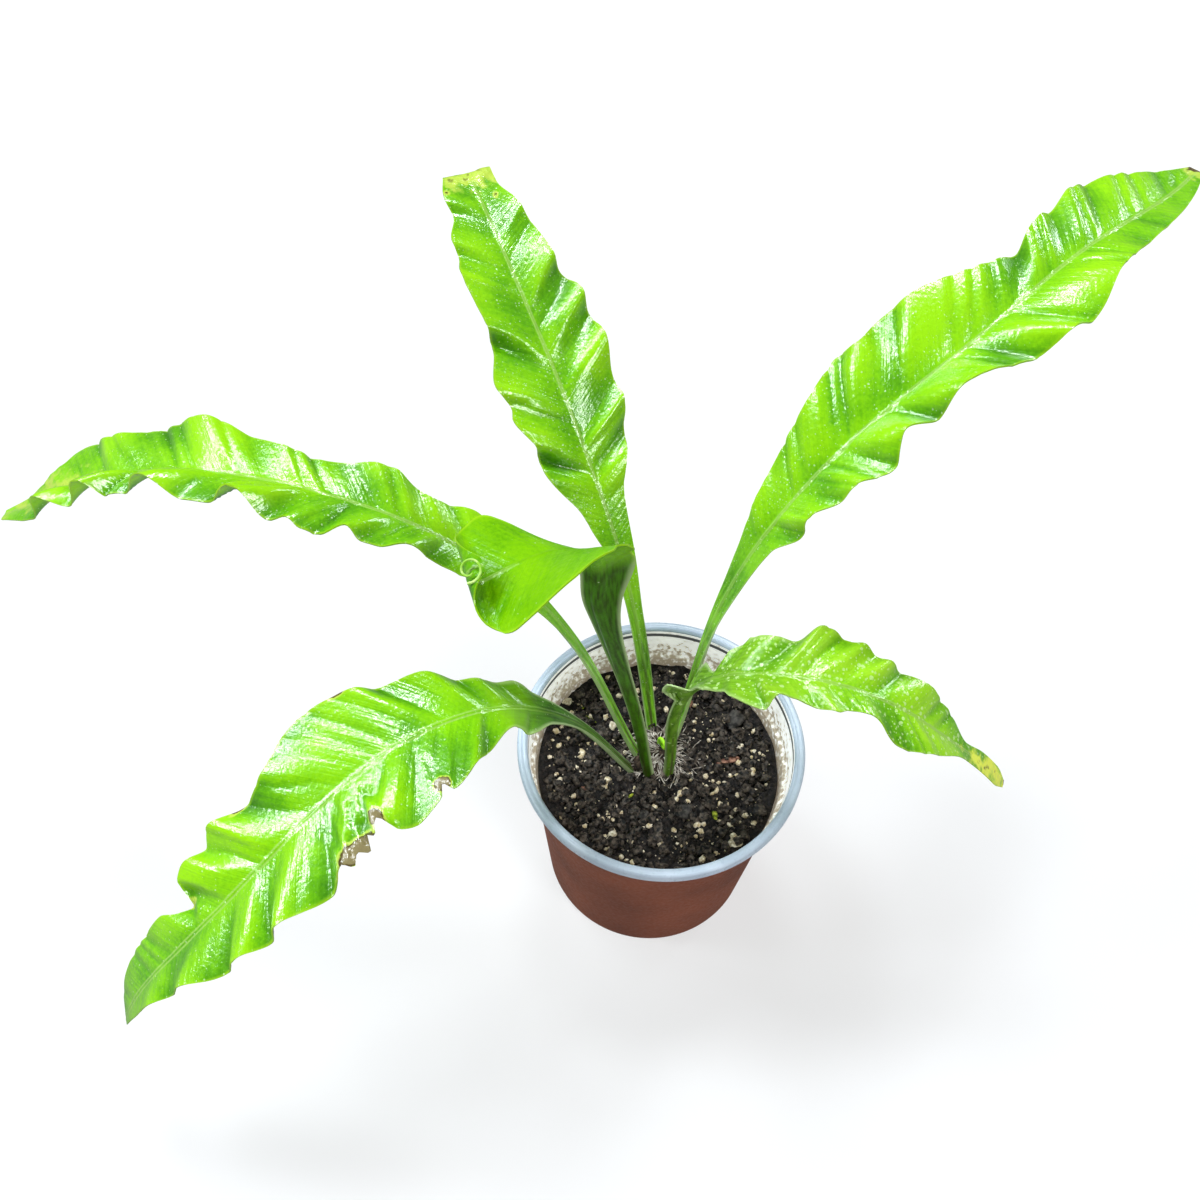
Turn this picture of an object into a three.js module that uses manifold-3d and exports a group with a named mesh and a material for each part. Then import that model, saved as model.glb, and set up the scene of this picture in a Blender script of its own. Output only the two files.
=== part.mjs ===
// Bird's nest fern with waved fronds in a thin nursery pot.
// Millimetres, +Z up. The origin is the centre of the pot's underside, on the surface that it stands on.
// Seen from the front, along +Y, the fronds spread to the left, to the right and to the back.

import * as THREE from "three";
import { mergeVertices } from "three/addons/utils/BufferGeometryUtils.js";
import Module from "manifold-3d";

const wasm = await Module();
wasm.setup();

// Pot
const RIM_RADIUS = 60;
const RIM_INNER_RADIUS = 55.6;
const POT_HEIGHT = 105;
const SKIRT_DROP = 4;
const FOOT_RADIUS = 45.4;
const SHOULDER_HEIGHT = 87;
const SHOULDER_RADIUS = 53.6;
const WALL = 1;
const FLOOR_LIFT = 2.4;
const CENTRE_DISC_RADIUS = 14;
const DRAIN_RADIUS = 3.5;
const DRAIN_RING_RADIUS = 27;
const DRAIN_COUNT = 6;
const POT_SIDES = 40;

// Soil
const SOIL_LEVEL = 84;
const FIT_GAP = 0.3;
const WALL_GAP = 0.5;
const SOIL_SIDES = 30;
const CRUMB_COUNT = 46;
const CRUMB_RADII = [1.5, 3.2];
const GRAIN_COUNT = 40;
const GRAIN_RADII = [1.1, 1.9];
const LUMP_SINK = 0.3;

// Crown, the short rhizome that carries the fronds
const CROWN_CENTRE = [-1.8, 5.4];
const CROWN_RADIUS = 16.3;
const CROWN_TOP = 88.6;
const CROWN_BOTTOM = 72;
const SCALE_COUNT = 34;
const SCALE_LENGTH = 7;
const SCALE_CLEARANCE = 4.6;
const SOCKET_GAP = 0.4;
const SOCKET_EASE = 1.35;

// Fronds
const FOOT_HEIGHT = 78;
const BLADE_THICKNESS = 0.9;
const RIB_THICKNESS = 2.4;
const RIB_HALF_WIDTH = 2.6;
const WAVE_SLANT = 0.6;
const STALK_STEP = 13;
const BLADE_STEP = 4.4;
const CURL_STEP = 1.8;

// Each frond is a strip along a midrib. The lists hold values at even steps from foot to tip:
// rise and bearing of the midrib, roll of the strip about it, and fold of each half, in degrees,
// and the half-widths to its left and right, in mm. The waves lists give the bulges of each margin
// as fractions of the length, and dip tells whether a bulge lifts (1) or dips (-1).
const FRONDS = {
  frond_back: {
    colour: 0x6fc40a,
    foot: [-2.2, 15.9],
    length: 267,
    rise: [70, 69, 60, 47, 37, 26, 16, 2],
    bearing: [118, 119, 121, 123, 121, 120, 117, 117],
    roll: [0, 0, 0, 0, 0, 0, 0, 0],
    foldLeft: [12, 12, 12, 12, 12, 12, 12, 8],
    foldRight: [12, 12, 12, 12, 12, 12, 12, 8],
    left: [2.2, 2.8, 3, 3, 4.5, 11, 18.5, 22.5, 19.5, 17.5, 13.5, 8],
    right: [2.2, 3, 3.6, 4.6, 6.5, 10.5, 18.5, 22, 21.5, 17.5, 13, 6.5],
    wavesLeft: [0.31, 0.395, 0.505, 0.58, 0.67, 0.745, 0.835, 0.89, 0.94],
    wavesRight: [0.37, 0.435, 0.51, 0.575, 0.68, 0.735, 0.845, 0.91],
    dip: [1, -1],
    ripple: 4.5,
    scallop: 2,
    curl: { from: 0.965, turn: -150 },
    notches: [],
  },
  frond_tall_right: {
    colour: 0x70c60a,
    foot: [4.4, 12.8],
    length: 381,
    rise: [80, 84, 74, 54, 31, 12, -9, -10],
    bearing: [35, 33, 30, 30, 32, 44, 45, 56],
    roll: [0, 0, 0, 0, 0, 0, 0, 0],
    foldLeft: [12, 12, 15, 22, 28, 22, 10, 8],
    foldRight: [12, 12, 15, 22, 28, 22, 10, 8],
    left: [2.2, 2.5, 2.6, 3, 7.5, 17, 23, 23.5, 17, 19.5, 15, 3],
    right: [2.2, 2.6, 2.8, 3.8, 6.5, 15, 16, 17.5, 20.5, 13.5, 9, 2],
    wavesLeft: [0.31, 0.38, 0.46, 0.525, 0.6, 0.67, 0.78, 0.84, 0.9, 0.95],
    wavesRight: [0.325, 0.38, 0.525, 0.57, 0.66, 0.725, 0.835, 0.945],
    dip: [-1, -1],
    ripple: 4.5,
    scallop: 3.2,
    curl: null,
    notches: [],
  },
  frond_arch_left: {
    colour: 0x74c80c,
    foot: [-5.8, 4.4],
    length: 361,
    rise: [68, 72, 60, 36, 10, -13, -33, -33],
    bearing: [173, 172, 172, 173, 171, 168, 174, 178],
    roll: [0, 0, 0, 0, 0, 0, 0, 0],
    foldLeft: [12, 12, 12, 17, 31, 48, 52, 30],
    foldRight: [12, 12, 12, 12, 12, 12, 12, 10],
    left: [2.2, 2.8, 3, 3.4, 4.6, 8, 19, 20, 16, 12.5, 10, 3],
    right: [2.2, 2.8, 3.2, 3.6, 5, 12.5, 17.5, 15.5, 21, 20, 16, 2],
    wavesLeft: [0.385, 0.46, 0.59, 0.71, 0.855, 0.95],
    wavesRight: [0.38, 0.44, 0.535, 0.645, 0.725, 0.86, 0.945],
    dip: [-1, -1],
    ripple: 5,
    scallop: 2.5,
    curl: null,
    notches: [],
  },
  frond_low_left: {
    colour: 0x72c60a,
    foot: [-8, -1.4],
    length: 330,
    rise: [64, 64, 42, 7, -26, -40, -50, -73],
    bearing: [195, 200, 206, 216, 221, 215, 205, 199],
    roll: [0, 0, 0, 0, 0, 0, 0, 0],
    foldLeft: [12, 12, 12, 12, 12, 12, 12, 10],
    foldRight: [12, 12, 12, 12, 12, 12, 12, 10],
    left: [2.2, 2.8, 3.4, 5.5, 14.5, 27, 28, 25, 22, 15, 8.5, 2],
    right: [2.2, 2.8, 4, 7, 14, 24, 28.5, 22.5, 24.5, 16, 12, 4],
    wavesLeft: [0.235, 0.33, 0.4, 0.5, 0.64, 0.71, 0.77, 0.875, 0.93],
    wavesRight: [0.31, 0.4, 0.485, 0.6, 0.68, 0.76, 0.86, 0.935],
    dip: [-1, -1],
    ripple: 4.5,
    scallop: 2.6,
    curl: null,
    notches: [{ side: 1, at: 0.8, depth: 0.4, reach: 0.014 }],
  },
  frond_young: {
    colour: 0x68bc08,
    foot: [-2.7, -3.5],
    length: 238,
    rise: [80, 81, 79, 77, 78, 84, -4, -40],
    bearing: [196, 196, 196, 196, 198, 208, 206, 198],
    roll: [-50, -50, -50, -50, -52, -68, -26, 8],
    foldLeft: [15, 15, 15, 15, 15, 15, 0, 0],
    foldRight: [15, 15, 15, 15, 15, 15, 10, 0],
    left: [2.2, 2.6, 3, 3.2, 3.6, 4.6, 6.2, 8.4, 13, 21, 25, 3],
    right: [2.2, 2.6, 3, 3.2, 3.8, 4.6, 5.5, 6, 6, 12, 27, 3],
    wavesLeft: [0.5, 0.75],
    wavesRight: [0.5, 0.75],
    dip: [1, 1],
    ripple: 0,
    scallop: 0,
    curl: { from: 0.93, turn: 230 },
    notches: [],
  },
  frond_short_right: {
    colour: 0x78cc10,
    foot: [3.6, -2.8],
    length: 251,
    rise: [86, 93, 75, 33, -8, -39, -48, -59],
    bearing: [-8, -12, -14, -14, -7, -4, 4, 11],
    roll: [55, 55, 40, 5, 0, 0, 0, 0],
    foldLeft: [12, 12, 12, 12, 12, 12, 12, 10],
    foldRight: [12, 12, 12, 12, 12, 12, 12, 10],
    left: [2.2, 2.5, 3, 4, 9.5, 13.5, 18.5, 15.5, 15.5, 8, 4.5, 3],
    right: [2.2, 2.5, 3, 4, 9, 12.5, 14, 9.5, 15.5, 7, 4.5, 2],
    wavesLeft: [0.35, 0.445, 0.555, 0.61, 0.67, 0.745, 0.835, 0.92],
    wavesRight: [0.36, 0.48, 0.53, 0.6, 0.68, 0.8, 0.9],
    dip: [-1, -1],
    ripple: 4,
    scallop: 2,
    curl: null,
    notches: [],
  },
};

// The bud is a crozier: a short stalk whose end is rolled up.
const BUD = { foot: [-0.2, 9], top: 91.5, radius: 0.9, coilRadius: 2.8, coilBearing: -58, turns: 0.8 };

const radians = THREE.MathUtils.degToRad;

// Repeatable random numbers from 0 to 1
function seededRandom(seed) {
  let state = seed;
  return () => {
    state = (state + 0x6d2b79f5) | 0;
    let mixed = Math.imul(state ^ (state >>> 15), 1 | state);
    mixed = (mixed + Math.imul(mixed ^ (mixed >>> 7), 61 | mixed)) ^ mixed;
    return ((mixed ^ (mixed >>> 14)) >>> 0) / 4294967296;
  };
}

// Smooth curve through evenly spaced values, at a fraction of the way from the first to the last
function along(values, fraction) {
  const last = values.length - 1;
  const place = THREE.MathUtils.clamp(fraction, 0, 1) * last;
  const index = Math.min(Math.floor(place), last - 1);
  const value = (k) => {
    if (k < 0) return 2 * values[0] - values[1];
    if (k > last) return 2 * values[last] - values[last - 1];
    return values[k];
  };
  const [a, b, c, d] = [value(index - 1), value(index), value(index + 1), value(index + 2)];
  const f = place - index;
  const bend = (2 * a - 5 * b + 4 * c - d) * f * f + (3 * b - a - 3 * c + d) * f * f * f;
  return 0.5 * (2 * b + (c - a) * f + bend);
}

// Turns of the wave at a fraction of the length: a whole number at each bulge
function waveTurns(bulges, fraction) {
  const last = bulges.length - 1;
  let k = 0;
  while (k < last - 1 && fraction > bulges[k + 1]) k += 1;
  return k + (fraction - bulges[k]) / (bulges[k + 1] - bulges[k]);
}

// Rise of the midrib, with the curl of the tip added
function riseAt(frond, fraction) {
  const rise = along(frond.rise, fraction);
  if (!frond.curl || fraction < frond.curl.from) return rise;
  return rise + (frond.curl.turn * (fraction - frond.curl.from)) / (1 - frond.curl.from);
}

// Midrib points, summed in small steps from the foot
function midribOf(frond) {
  const steps = 480;
  const points = [new THREE.Vector3(frond.foot[0], frond.foot[1], FOOT_HEIGHT)];
  for (let i = 0; i < steps; i += 1) {
    const fraction = (i + 0.5) / steps;
    const rise = radians(riseAt(frond, fraction));
    const bearing = radians(along(frond.bearing, fraction));
    const step = new THREE.Vector3(
      Math.cos(rise) * Math.cos(bearing),
      Math.cos(rise) * Math.sin(bearing),
      Math.sin(rise),
    );
    points.push(points[i].clone().addScaledVector(step, frond.length / steps));
  }
  return points;
}

// Half-width on one side, less its notches
function halfWidth(frond, fraction, side) {
  let width = Math.max(along(side < 0 ? frond.left : frond.right, fraction), 0.25);
  for (const notch of frond.notches) {
    if (notch.side !== side) continue;
    const offset = (fraction - notch.at) / notch.reach;
    width *= 1 - notch.depth * Math.exp(-offset * offset);
  }
  return width;
}

// A point of the strip's middle surface. across runs from -1 at the left margin to 1 at the right.
function stripPoint(frond, midrib, fraction, across) {
  const place = THREE.MathUtils.clamp(fraction, 0, 1) * (midrib.length - 1);
  const index = Math.min(Math.floor(place), midrib.length - 2);
  const point = midrib[index].clone().lerp(midrib[index + 1], place - index);
  const rise = radians(riseAt(frond, fraction));
  const bearing = radians(along(frond.bearing, fraction));
  const roll = radians(along(frond.roll, fraction));
  const up = new THREE.Vector3(
    -Math.sin(rise) * Math.cos(bearing),
    -Math.sin(rise) * Math.sin(bearing),
    Math.cos(rise),
  );
  const right = new THREE.Vector3(Math.sin(bearing), -Math.cos(bearing), 0);
  const rolledRight = right.clone().multiplyScalar(Math.cos(roll)).addScaledVector(up, Math.sin(roll));
  const rolledUp = up.multiplyScalar(Math.cos(roll)).addScaledVector(right, -Math.sin(roll));

  const side = across < 0 ? -1 : 1;
  const outward = Math.abs(across);
  const width = halfWidth(frond, fraction, side);
  const widest = Math.max(...frond.left, ...frond.right);
  const strength = THREE.MathUtils.smoothstep((width - 6) / (0.55 * widest), 0, 1);
  const bulges = side < 0 ? frond.wavesLeft : frond.wavesRight;
  const forward = (WAVE_SLANT * width * (1 - outward)) / frond.length;
  const wave = Math.cos(2 * Math.PI * waveTurns(bulges, fraction + forward));
  const reach = width * outward + frond.scallop * strength * outward ** 2 * wave;
  const fold = radians(along(side < 0 ? frond.foldLeft : frond.foldRight, fraction) * (1 - outward / 2));
  const lift = frond.dip[side < 0 ? 0 : 1] * frond.ripple * strength * outward ** 1.6 * wave;
  point.addScaledVector(rolledRight, side * reach * Math.cos(fold));
  return point.addScaledVector(rolledUp, reach * Math.sin(fold) + lift);
}

// Places along a frond where its strip is cut into rows: close together in the waved blade and the curl
function rowsOf(frond) {
  const rows = [0];
  const curlFrom = frond.curl ? frond.curl.from : 1;
  while (rows.at(-1) < 1) {
    const here = rows.at(-1);
    const isStalk = halfWidth(frond, here + STALK_STEP / frond.length, 1) < 6;
    let step = isStalk ? STALK_STEP : BLADE_STEP;
    if (here >= curlFrom) step = CURL_STEP;
    rows.push(here + step / frond.length);
  }
  rows[rows.length - 1] = 1;
  return rows;
}

// Places across a frond where its strip is cut, with the inner ones at the edges of the midrib
function columnsOf(width) {
  const rib = Math.min(0.45, RIB_HALF_WIDTH / width);
  const middle = rib + (1 - rib) * 0.5;
  return [-1, -middle, -rib, 0, rib, middle, 1];
}

// Thickness under the middle surface: the blade's own half, and the midrib's keel
function depthBelow(fraction, distance) {
  const rib = RIB_THICKNESS * (1 - fraction) ** 0.8;
  const share = Math.max(0, 1 - (distance / (RIB_HALF_WIDTH * 1.05)) ** 2);
  return BLADE_THICKNESS / 2 + rib * share;
}

// One frond as a closed solid: its upper and lower faces are cut alike, and joined along the edge
function frondGeometry(frond) {
  const midrib = midribOf(frond);
  const rows = rowsOf(frond);
  const columns = 7;
  const middle = [];
  const below = [];
  const faces = [];
  rows.forEach((fraction, i) => {
    const places = columnsOf(Math.max(halfWidth(frond, fraction, 1), halfWidth(frond, fraction, -1)));
    places.forEach((across, j) => {
      middle.push(...stripPoint(frond, midrib, fraction, across).toArray());
      const distance = Math.abs(across) * halfWidth(frond, fraction, across < 0 ? -1 : 1);
      below.push(depthBelow(fraction, distance));
      if (i === 0 || j === 0) return;
      const here = i * columns + j;
      faces.push(here - columns - 1, here - columns, here);
      faces.push(here - columns - 1, here, here - 1);
    });
  });
  const sheet = new THREE.BufferGeometry();
  sheet.setAttribute("position", new THREE.Float32BufferAttribute(middle, 3));
  sheet.setIndex(faces);
  sheet.computeVertexNormals();

  const count = middle.length / 3;
  const positions = new Float32Array(count * 6);
  const point = new THREE.Vector3();
  const normal = new THREE.Vector3();
  for (let k = 0; k < count; k += 1) {
    normal.fromBufferAttribute(sheet.attributes.normal, k);
    point.fromBufferAttribute(sheet.attributes.position, k).addScaledVector(normal, -below[k]);
    point.toArray(positions, 3 * k);
    point.fromBufferAttribute(sheet.attributes.position, k).addScaledVector(normal, BLADE_THICKNESS / 2);
    point.toArray(positions, 3 * (count + k));
  }
  const index = [];
  for (let f = 0; f < faces.length; f += 3) {
    const [a, b, c] = faces.slice(f, f + 3);
    index.push(a, c, b, count + a, count + b, count + c);
  }
  const edge = edgeLoop(rows.length, columns);
  edge.forEach((a, k) => {
    const b = edge[(k + 1) % edge.length];
    index.push(a, b, count + b, a, count + b, count + a);
  });
  const solid = new THREE.BufferGeometry();
  solid.setAttribute("position", new THREE.BufferAttribute(positions, 3));
  solid.setIndex(index);
  return solid;
}

// Grid vertices round the edge of a strip, in order
function edgeLoop(rowCount, columnCount) {
  const loop = [];
  for (let j = 0; j < columnCount; j += 1) loop.push(j);
  for (let i = 1; i < rowCount; i += 1) loop.push(i * columnCount + columnCount - 1);
  for (let j = columnCount - 2; j >= 0; j -= 1) loop.push((rowCount - 1) * columnCount + j);
  for (let i = rowCount - 2; i > 0; i -= 1) loop.push(i * columnCount);
  return loop;
}

// A closed mesh becomes a solid that can be joined and cut
function solidOf(geometry) {
  const bare = new THREE.BufferGeometry();
  bare.setAttribute("position", geometry.attributes.position);
  if (geometry.index) bare.setIndex(geometry.index);
  const merged = mergeVertices(bare, 1e-4);
  const vertProperties = new Float32Array(merged.attributes.position.array);
  const triVerts = new Uint32Array(merged.index.array);
  return new wasm.Manifold(new wasm.Mesh({ numProp: 3, vertProperties, triVerts }));
}

// A joined or cut solid becomes a mesh again
function geometryOf(solid) {
  const { vertProperties, triVerts, numProp } = solid.getMesh();
  const positions = new Float32Array((vertProperties.length / numProp) * 3);
  for (let k = 0; k < positions.length / 3; k += 1) {
    positions.set(vertProperties.subarray(k * numProp, k * numProp + 3), 3 * k);
  }
  const geometry = new THREE.BufferGeometry();
  geometry.setAttribute("position", new THREE.BufferAttribute(positions, 3));
  geometry.setIndex(new THREE.BufferAttribute(new Uint32Array(triVerts), 1));
  return geometry;
}

// The main body of a cut solid, without the slivers that a cut leaves loose
function largestBody(solid) {
  return solid.decompose().reduce((kept, body) => (body.volume() > kept.volume() ? body : kept));
}

// A profile of [radius, height] points turned about the vertical axis
function turned(profile, sides) {
  const points = profile.map(([radius, height]) => new THREE.Vector2(radius, height));
  return new THREE.LatheGeometry(points, sides).rotateX(Math.PI / 2);
}

// Inside radius of the pot's tapered wall at a height below the shoulder
function wallInside(height) {
  const taper = (SHOULDER_RADIUS - FOOT_RADIUS) / SHOULDER_HEIGHT;
  return FOOT_RADIUS + taper * height - WALL;
}

// The pot: one thin wall with a flat centre disc, a raised drained channel, a foot ring, a tapered
// wall, a shoulder that stacks on the next pot, a collar and a rolled flange with a short skirt
function potGeometry() {
  const collarTop = RIM_INNER_RADIUS + WALL;
  const profile = [
    [0, 0],
    [CENTRE_DISC_RADIUS, 0],
    [CENTRE_DISC_RADIUS + 2.5, FLOOR_LIFT],
    [FOOT_RADIUS - 8, FLOOR_LIFT],
    [FOOT_RADIUS - 6, 0],
    [FOOT_RADIUS - 1.6, 0],
    [FOOT_RADIUS - 0.3, 0.8],
    [FOOT_RADIUS + 0.2, 3],
    [SHOULDER_RADIUS, SHOULDER_HEIGHT],
    [SHOULDER_RADIUS + 1.6, SHOULDER_HEIGHT + 1.6],
    [collarTop, POT_HEIGHT - 3.6],
    [collarTop + 0.6, POT_HEIGHT - 1.4],
    [RIM_RADIUS - WALL, POT_HEIGHT - 1.2],
    [RIM_RADIUS - WALL, POT_HEIGHT - SKIRT_DROP],
    [RIM_RADIUS, POT_HEIGHT - SKIRT_DROP],
    [RIM_RADIUS, POT_HEIGHT - 0.9],
    [RIM_RADIUS - 1, POT_HEIGHT],
    [RIM_INNER_RADIUS + 0.9, POT_HEIGHT - 0.2],
    [RIM_INNER_RADIUS, POT_HEIGHT - 1.8],
    [SHOULDER_RADIUS + 1.6 - WALL, SHOULDER_HEIGHT + 2],
    [SHOULDER_RADIUS - WALL, SHOULDER_HEIGHT + 0.4],
    [wallInside(3), 3],
    [FOOT_RADIUS - 1.6, WALL],
    [FOOT_RADIUS - 5.4, WALL],
    [FOOT_RADIUS - 7.4, FLOOR_LIFT + WALL],
    [CENTRE_DISC_RADIUS + 2, FLOOR_LIFT + WALL],
    [CENTRE_DISC_RADIUS - 0.5, WALL],
    [0, WALL],
  ];
  let pot = solidOf(turned(profile, POT_SIDES));
  for (let k = 0; k < DRAIN_COUNT; k += 1) {
    const angle = (2 * Math.PI * k) / DRAIN_COUNT;
    const hole = new THREE.CylinderGeometry(DRAIN_RADIUS, DRAIN_RADIUS, 8, 16).rotateX(Math.PI / 2);
    hole.translate(DRAIN_RING_RADIUS * Math.cos(angle), DRAIN_RING_RADIUS * Math.sin(angle), FLOOR_LIFT);
    pot = pot.subtract(solidOf(hole));
  }
  return geometryOf(pot);
}

// Height of the soil's surface: low swells, a little higher round the crown
function soilHeight(x, y) {
  const swell = 0.9 * Math.sin(0.19 * x + 0.8) * Math.cos(0.16 * y - 0.4) + 0.6 * Math.sin(0.37 * x - 0.29 * y);
  const toCrown = Math.hypot(x - CROWN_CENTRE[0], y - CROWN_CENTRE[1]);
  return SOIL_LEVEL + swell + 1.4 * Math.exp(-((toCrown / 22) ** 2));
}

// An uneven lump, half sunk at a place on the soil
function lump(random, radius, x, y) {
  const isGrain = radius < GRAIN_RADII[1];
  const shape = isGrain ? new THREE.OctahedronGeometry(radius, 0) : new THREE.IcosahedronGeometry(radius, 0);
  shape.scale(0.75 + 0.5 * random(), 0.75 + 0.5 * random(), 0.9 + 0.3 * random());
  shape.rotateZ(2 * Math.PI * random());
  shape.rotateX(0.6 * random());
  return shape.translate(x, y, soilHeight(x, y) - LUMP_SINK);
}

// The space that the crown fills, grown by a gap
function crownEnvelope(gap) {
  const radius = CROWN_RADIUS + gap;
  const profile = [
    [0, CROWN_BOTTOM - gap],
    [0.6 * radius, CROWN_BOTTOM - gap],
    [radius, SOIL_LEVEL - 4],
    [radius, CROWN_TOP + 6],
    [0, CROWN_TOP + 6],
  ];
  return solidOf(turned(profile, 24).translate(CROWN_CENTRE[0], CROWN_CENTRE[1], 0));
}

// The soil: fills the pot from its floor, with crumbs and grains fused to its top
function soilGeometry() {
  const random = seededRandom(11);
  const floor = FLOOR_LIFT + WALL + FIT_GAP;
  const top = wallInside(SOIL_LEVEL - 3) - WALL_GAP;
  const profile = [[0, floor], [wallInside(6) - WALL_GAP - 1, floor], [wallInside(8) - WALL_GAP, floor + 4]];
  profile.push([top, SOIL_LEVEL - 3]);
  for (const share of [0.97, 0.84, 0.68, 0.5, 0.3, 0]) profile.push([top * share, SOIL_LEVEL]);
  const bed = turned(profile, SOIL_SIDES);
  const place = bed.attributes.position;
  for (let k = 0; k < place.count; k += 1) {
    const onTop = place.getZ(k) > SOIL_LEVEL - 1;
    if (onTop) place.setZ(k, soilHeight(place.getX(k), place.getY(k)));
  }
  let soil = solidOf(bed);
  const scatter = (count, radii) => {
    for (let k = 0; k < count; k += 1) {
      const angle = 2 * Math.PI * random();
      const distance = (top - 5) * Math.sqrt(random());
      const [x, y] = [distance * Math.cos(angle), distance * Math.sin(angle)];
      const radius = THREE.MathUtils.lerp(radii[0], radii[1], random());
      const toCrown = Math.hypot(x - CROWN_CENTRE[0], y - CROWN_CENTRE[1]);
      if (toCrown > CROWN_RADIUS + radii[1] + 1) soil = soil.add(solidOf(lump(random, radius, x, y)));
    }
  };
  scatter(CRUMB_COUNT, CRUMB_RADII);
  scatter(GRAIN_COUNT, GRAIN_RADII);
  return geometryOf(soil.subtract(crownEnvelope(FIT_GAP)));
}

// A plain hole for a frond's foot, in line with its stalk
function socketOf(frond) {
  const depth = 24;
  const rise = radians(frond.rise[0]);
  const bearing = radians(frond.bearing[0]);
  const wide = frond.left[0] + SOCKET_GAP + SOCKET_EASE;
  const thick = (BLADE_THICKNESS + RIB_THICKNESS) / 2 + SOCKET_GAP + SOCKET_EASE;
  const hole = new THREE.CylinderGeometry(1, 1, depth, 12).scale(wide, 1, thick);
  hole.translate(0, depth / 2 - SOCKET_GAP, -RIB_THICKNESS / 2);
  const forward = new THREE.Vector3(
    Math.cos(rise) * Math.cos(bearing),
    Math.cos(rise) * Math.sin(bearing),
    Math.sin(rise),
  );
  const right = new THREE.Vector3(Math.sin(bearing), -Math.cos(bearing), 0);
  const up = new THREE.Vector3().crossVectors(right, forward);
  const roll = radians(frond.roll[0]);
  const rolledRight = right.clone().multiplyScalar(Math.cos(roll)).addScaledVector(up, Math.sin(roll));
  const rolledUp = new THREE.Vector3().crossVectors(rolledRight, forward);
  hole.applyMatrix4(new THREE.Matrix4().makeBasis(rolledRight, forward, rolledUp));
  return hole.translate(frond.foot[0], frond.foot[1], FOOT_HEIGHT);
}

// Where the middle of a stalk leaves the crown
function stalkAtCrownTop(frond) {
  const rise = radians(frond.rise[0]);
  const bearing = radians(frond.bearing[0]);
  const run = (CROWN_TOP - FOOT_HEIGHT) / Math.tan(rise);
  return new THREE.Vector2(frond.foot[0] + run * Math.cos(bearing), frond.foot[1] + run * Math.sin(bearing));
}

// The crown: a squat dome with narrow scales rooted in it, and a plain hole for each stalk
function crownGeometry() {
  const random = seededRandom(23);
  const radius = CROWN_RADIUS;
  const profile = [
    [0, CROWN_BOTTOM],
    [0.55 * radius, CROWN_BOTTOM],
    [0.93 * radius, SOIL_LEVEL - 3],
    [0.94 * radius, SOIL_LEVEL + 0.6],
    [0.8 * radius, CROWN_TOP - 1.6],
    [0.45 * radius, CROWN_TOP - 0.3],
    [0, CROWN_TOP],
  ];
  let crown = solidOf(turned(profile, 20).translate(CROWN_CENTRE[0], CROWN_CENTRE[1], 0));
  const stalks = Object.values(FRONDS).map(stalkAtCrownTop);
  for (let k = 0; k < SCALE_COUNT; k += 1) {
    const angle = 2 * Math.PI * (k * 0.618 + 0.1 * random());
    const distance = radius * (0.25 + 0.5 * random());
    const lean = 0.5 + 0.5 * random();
    const x = CROWN_CENTRE[0] + distance * Math.cos(angle);
    const y = CROWN_CENTRE[1] + distance * Math.sin(angle);
    const isClear = stalks.every((stalk) => Math.hypot(x - stalk.x, y - stalk.y) > SCALE_CLEARANCE);
    const scale = new THREE.ConeGeometry(1.3, SCALE_LENGTH, 4).rotateX(Math.PI / 2);
    scale.translate(0, 0, SCALE_LENGTH / 4).rotateY(lean).rotateZ(angle);
    if (isClear) crown = crown.add(solidOf(scale.translate(x, y, CROWN_TOP - 2.2)));
  }
  crown = crown.intersect(crownEnvelope(0));
  for (const frond of Object.values(FRONDS)) crown = crown.subtract(solidOf(socketOf(frond)));
  const budHole = new THREE.CylinderGeometry(BUD.radius + SOCKET_GAP, BUD.radius + SOCKET_GAP, 24, 12);
  budHole.rotateX(Math.PI / 2).translate(BUD.foot[0], BUD.foot[1], FOOT_HEIGHT - SOCKET_GAP + 12);
  return geometryOf(largestBody(crown.subtract(solidOf(budHole))));
}

// The bud: a round stalk that rises and rolls up at its end
function budGeometry() {
  const points = [];
  const straight = 5;
  for (let k = 0; k < straight; k += 1) {
    points.push(new THREE.Vector3(BUD.foot[0], BUD.foot[1], FOOT_HEIGHT + ((BUD.top - FOOT_HEIGHT) * k) / straight));
  }
  const steps = 12;
  const bearing = radians(BUD.coilBearing);
  for (let k = 0; k <= steps; k += 1) {
    const turn = 2 * Math.PI * BUD.turns * (k / steps);
    const radius = BUD.coilRadius * (1 - (0.45 * k) / steps);
    const offset = BUD.coilRadius - radius * Math.cos(turn);
    points.push(new THREE.Vector3(
      BUD.foot[0] + offset * Math.cos(bearing),
      BUD.foot[1] + offset * Math.sin(bearing),
      BUD.top + radius * Math.sin(turn),
    ));
  }
  const path = new THREE.CatmullRomCurve3(points);
  const section = new THREE.Shape(new THREE.EllipseCurve(0, 0, BUD.radius, BUD.radius).getPoints(7));
  return new THREE.ExtrudeGeometry(section, { steps: 22, curveSegments: 3, bevelEnabled: false, extrudePath: path });
}

function material(colour, roughness) {
  return new THREE.MeshStandardMaterial({ color: colour, roughness, metalness: 0 });
}

function piece(name, geometry, finish) {
  const mesh = new THREE.Mesh(geometry, finish);
  mesh.name = name;
  return mesh;
}

const fern = new THREE.Group();
fern.add(piece("pot", potGeometry(), material(0x7a4638, 0.45)));
fern.add(piece("soil", soilGeometry(), material(0x2b1f19, 0.95)));
fern.add(piece("crown", crownGeometry(), material(0x8d8474, 0.9)));
for (const [name, frond] of Object.entries(FRONDS)) {
  fern.add(piece(name, frondGeometry(frond), material(frond.colour, 0.35)));
}
fern.add(piece("frond_bud", budGeometry(), material(0x9be01c, 0.4)));

export default fern;
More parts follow.
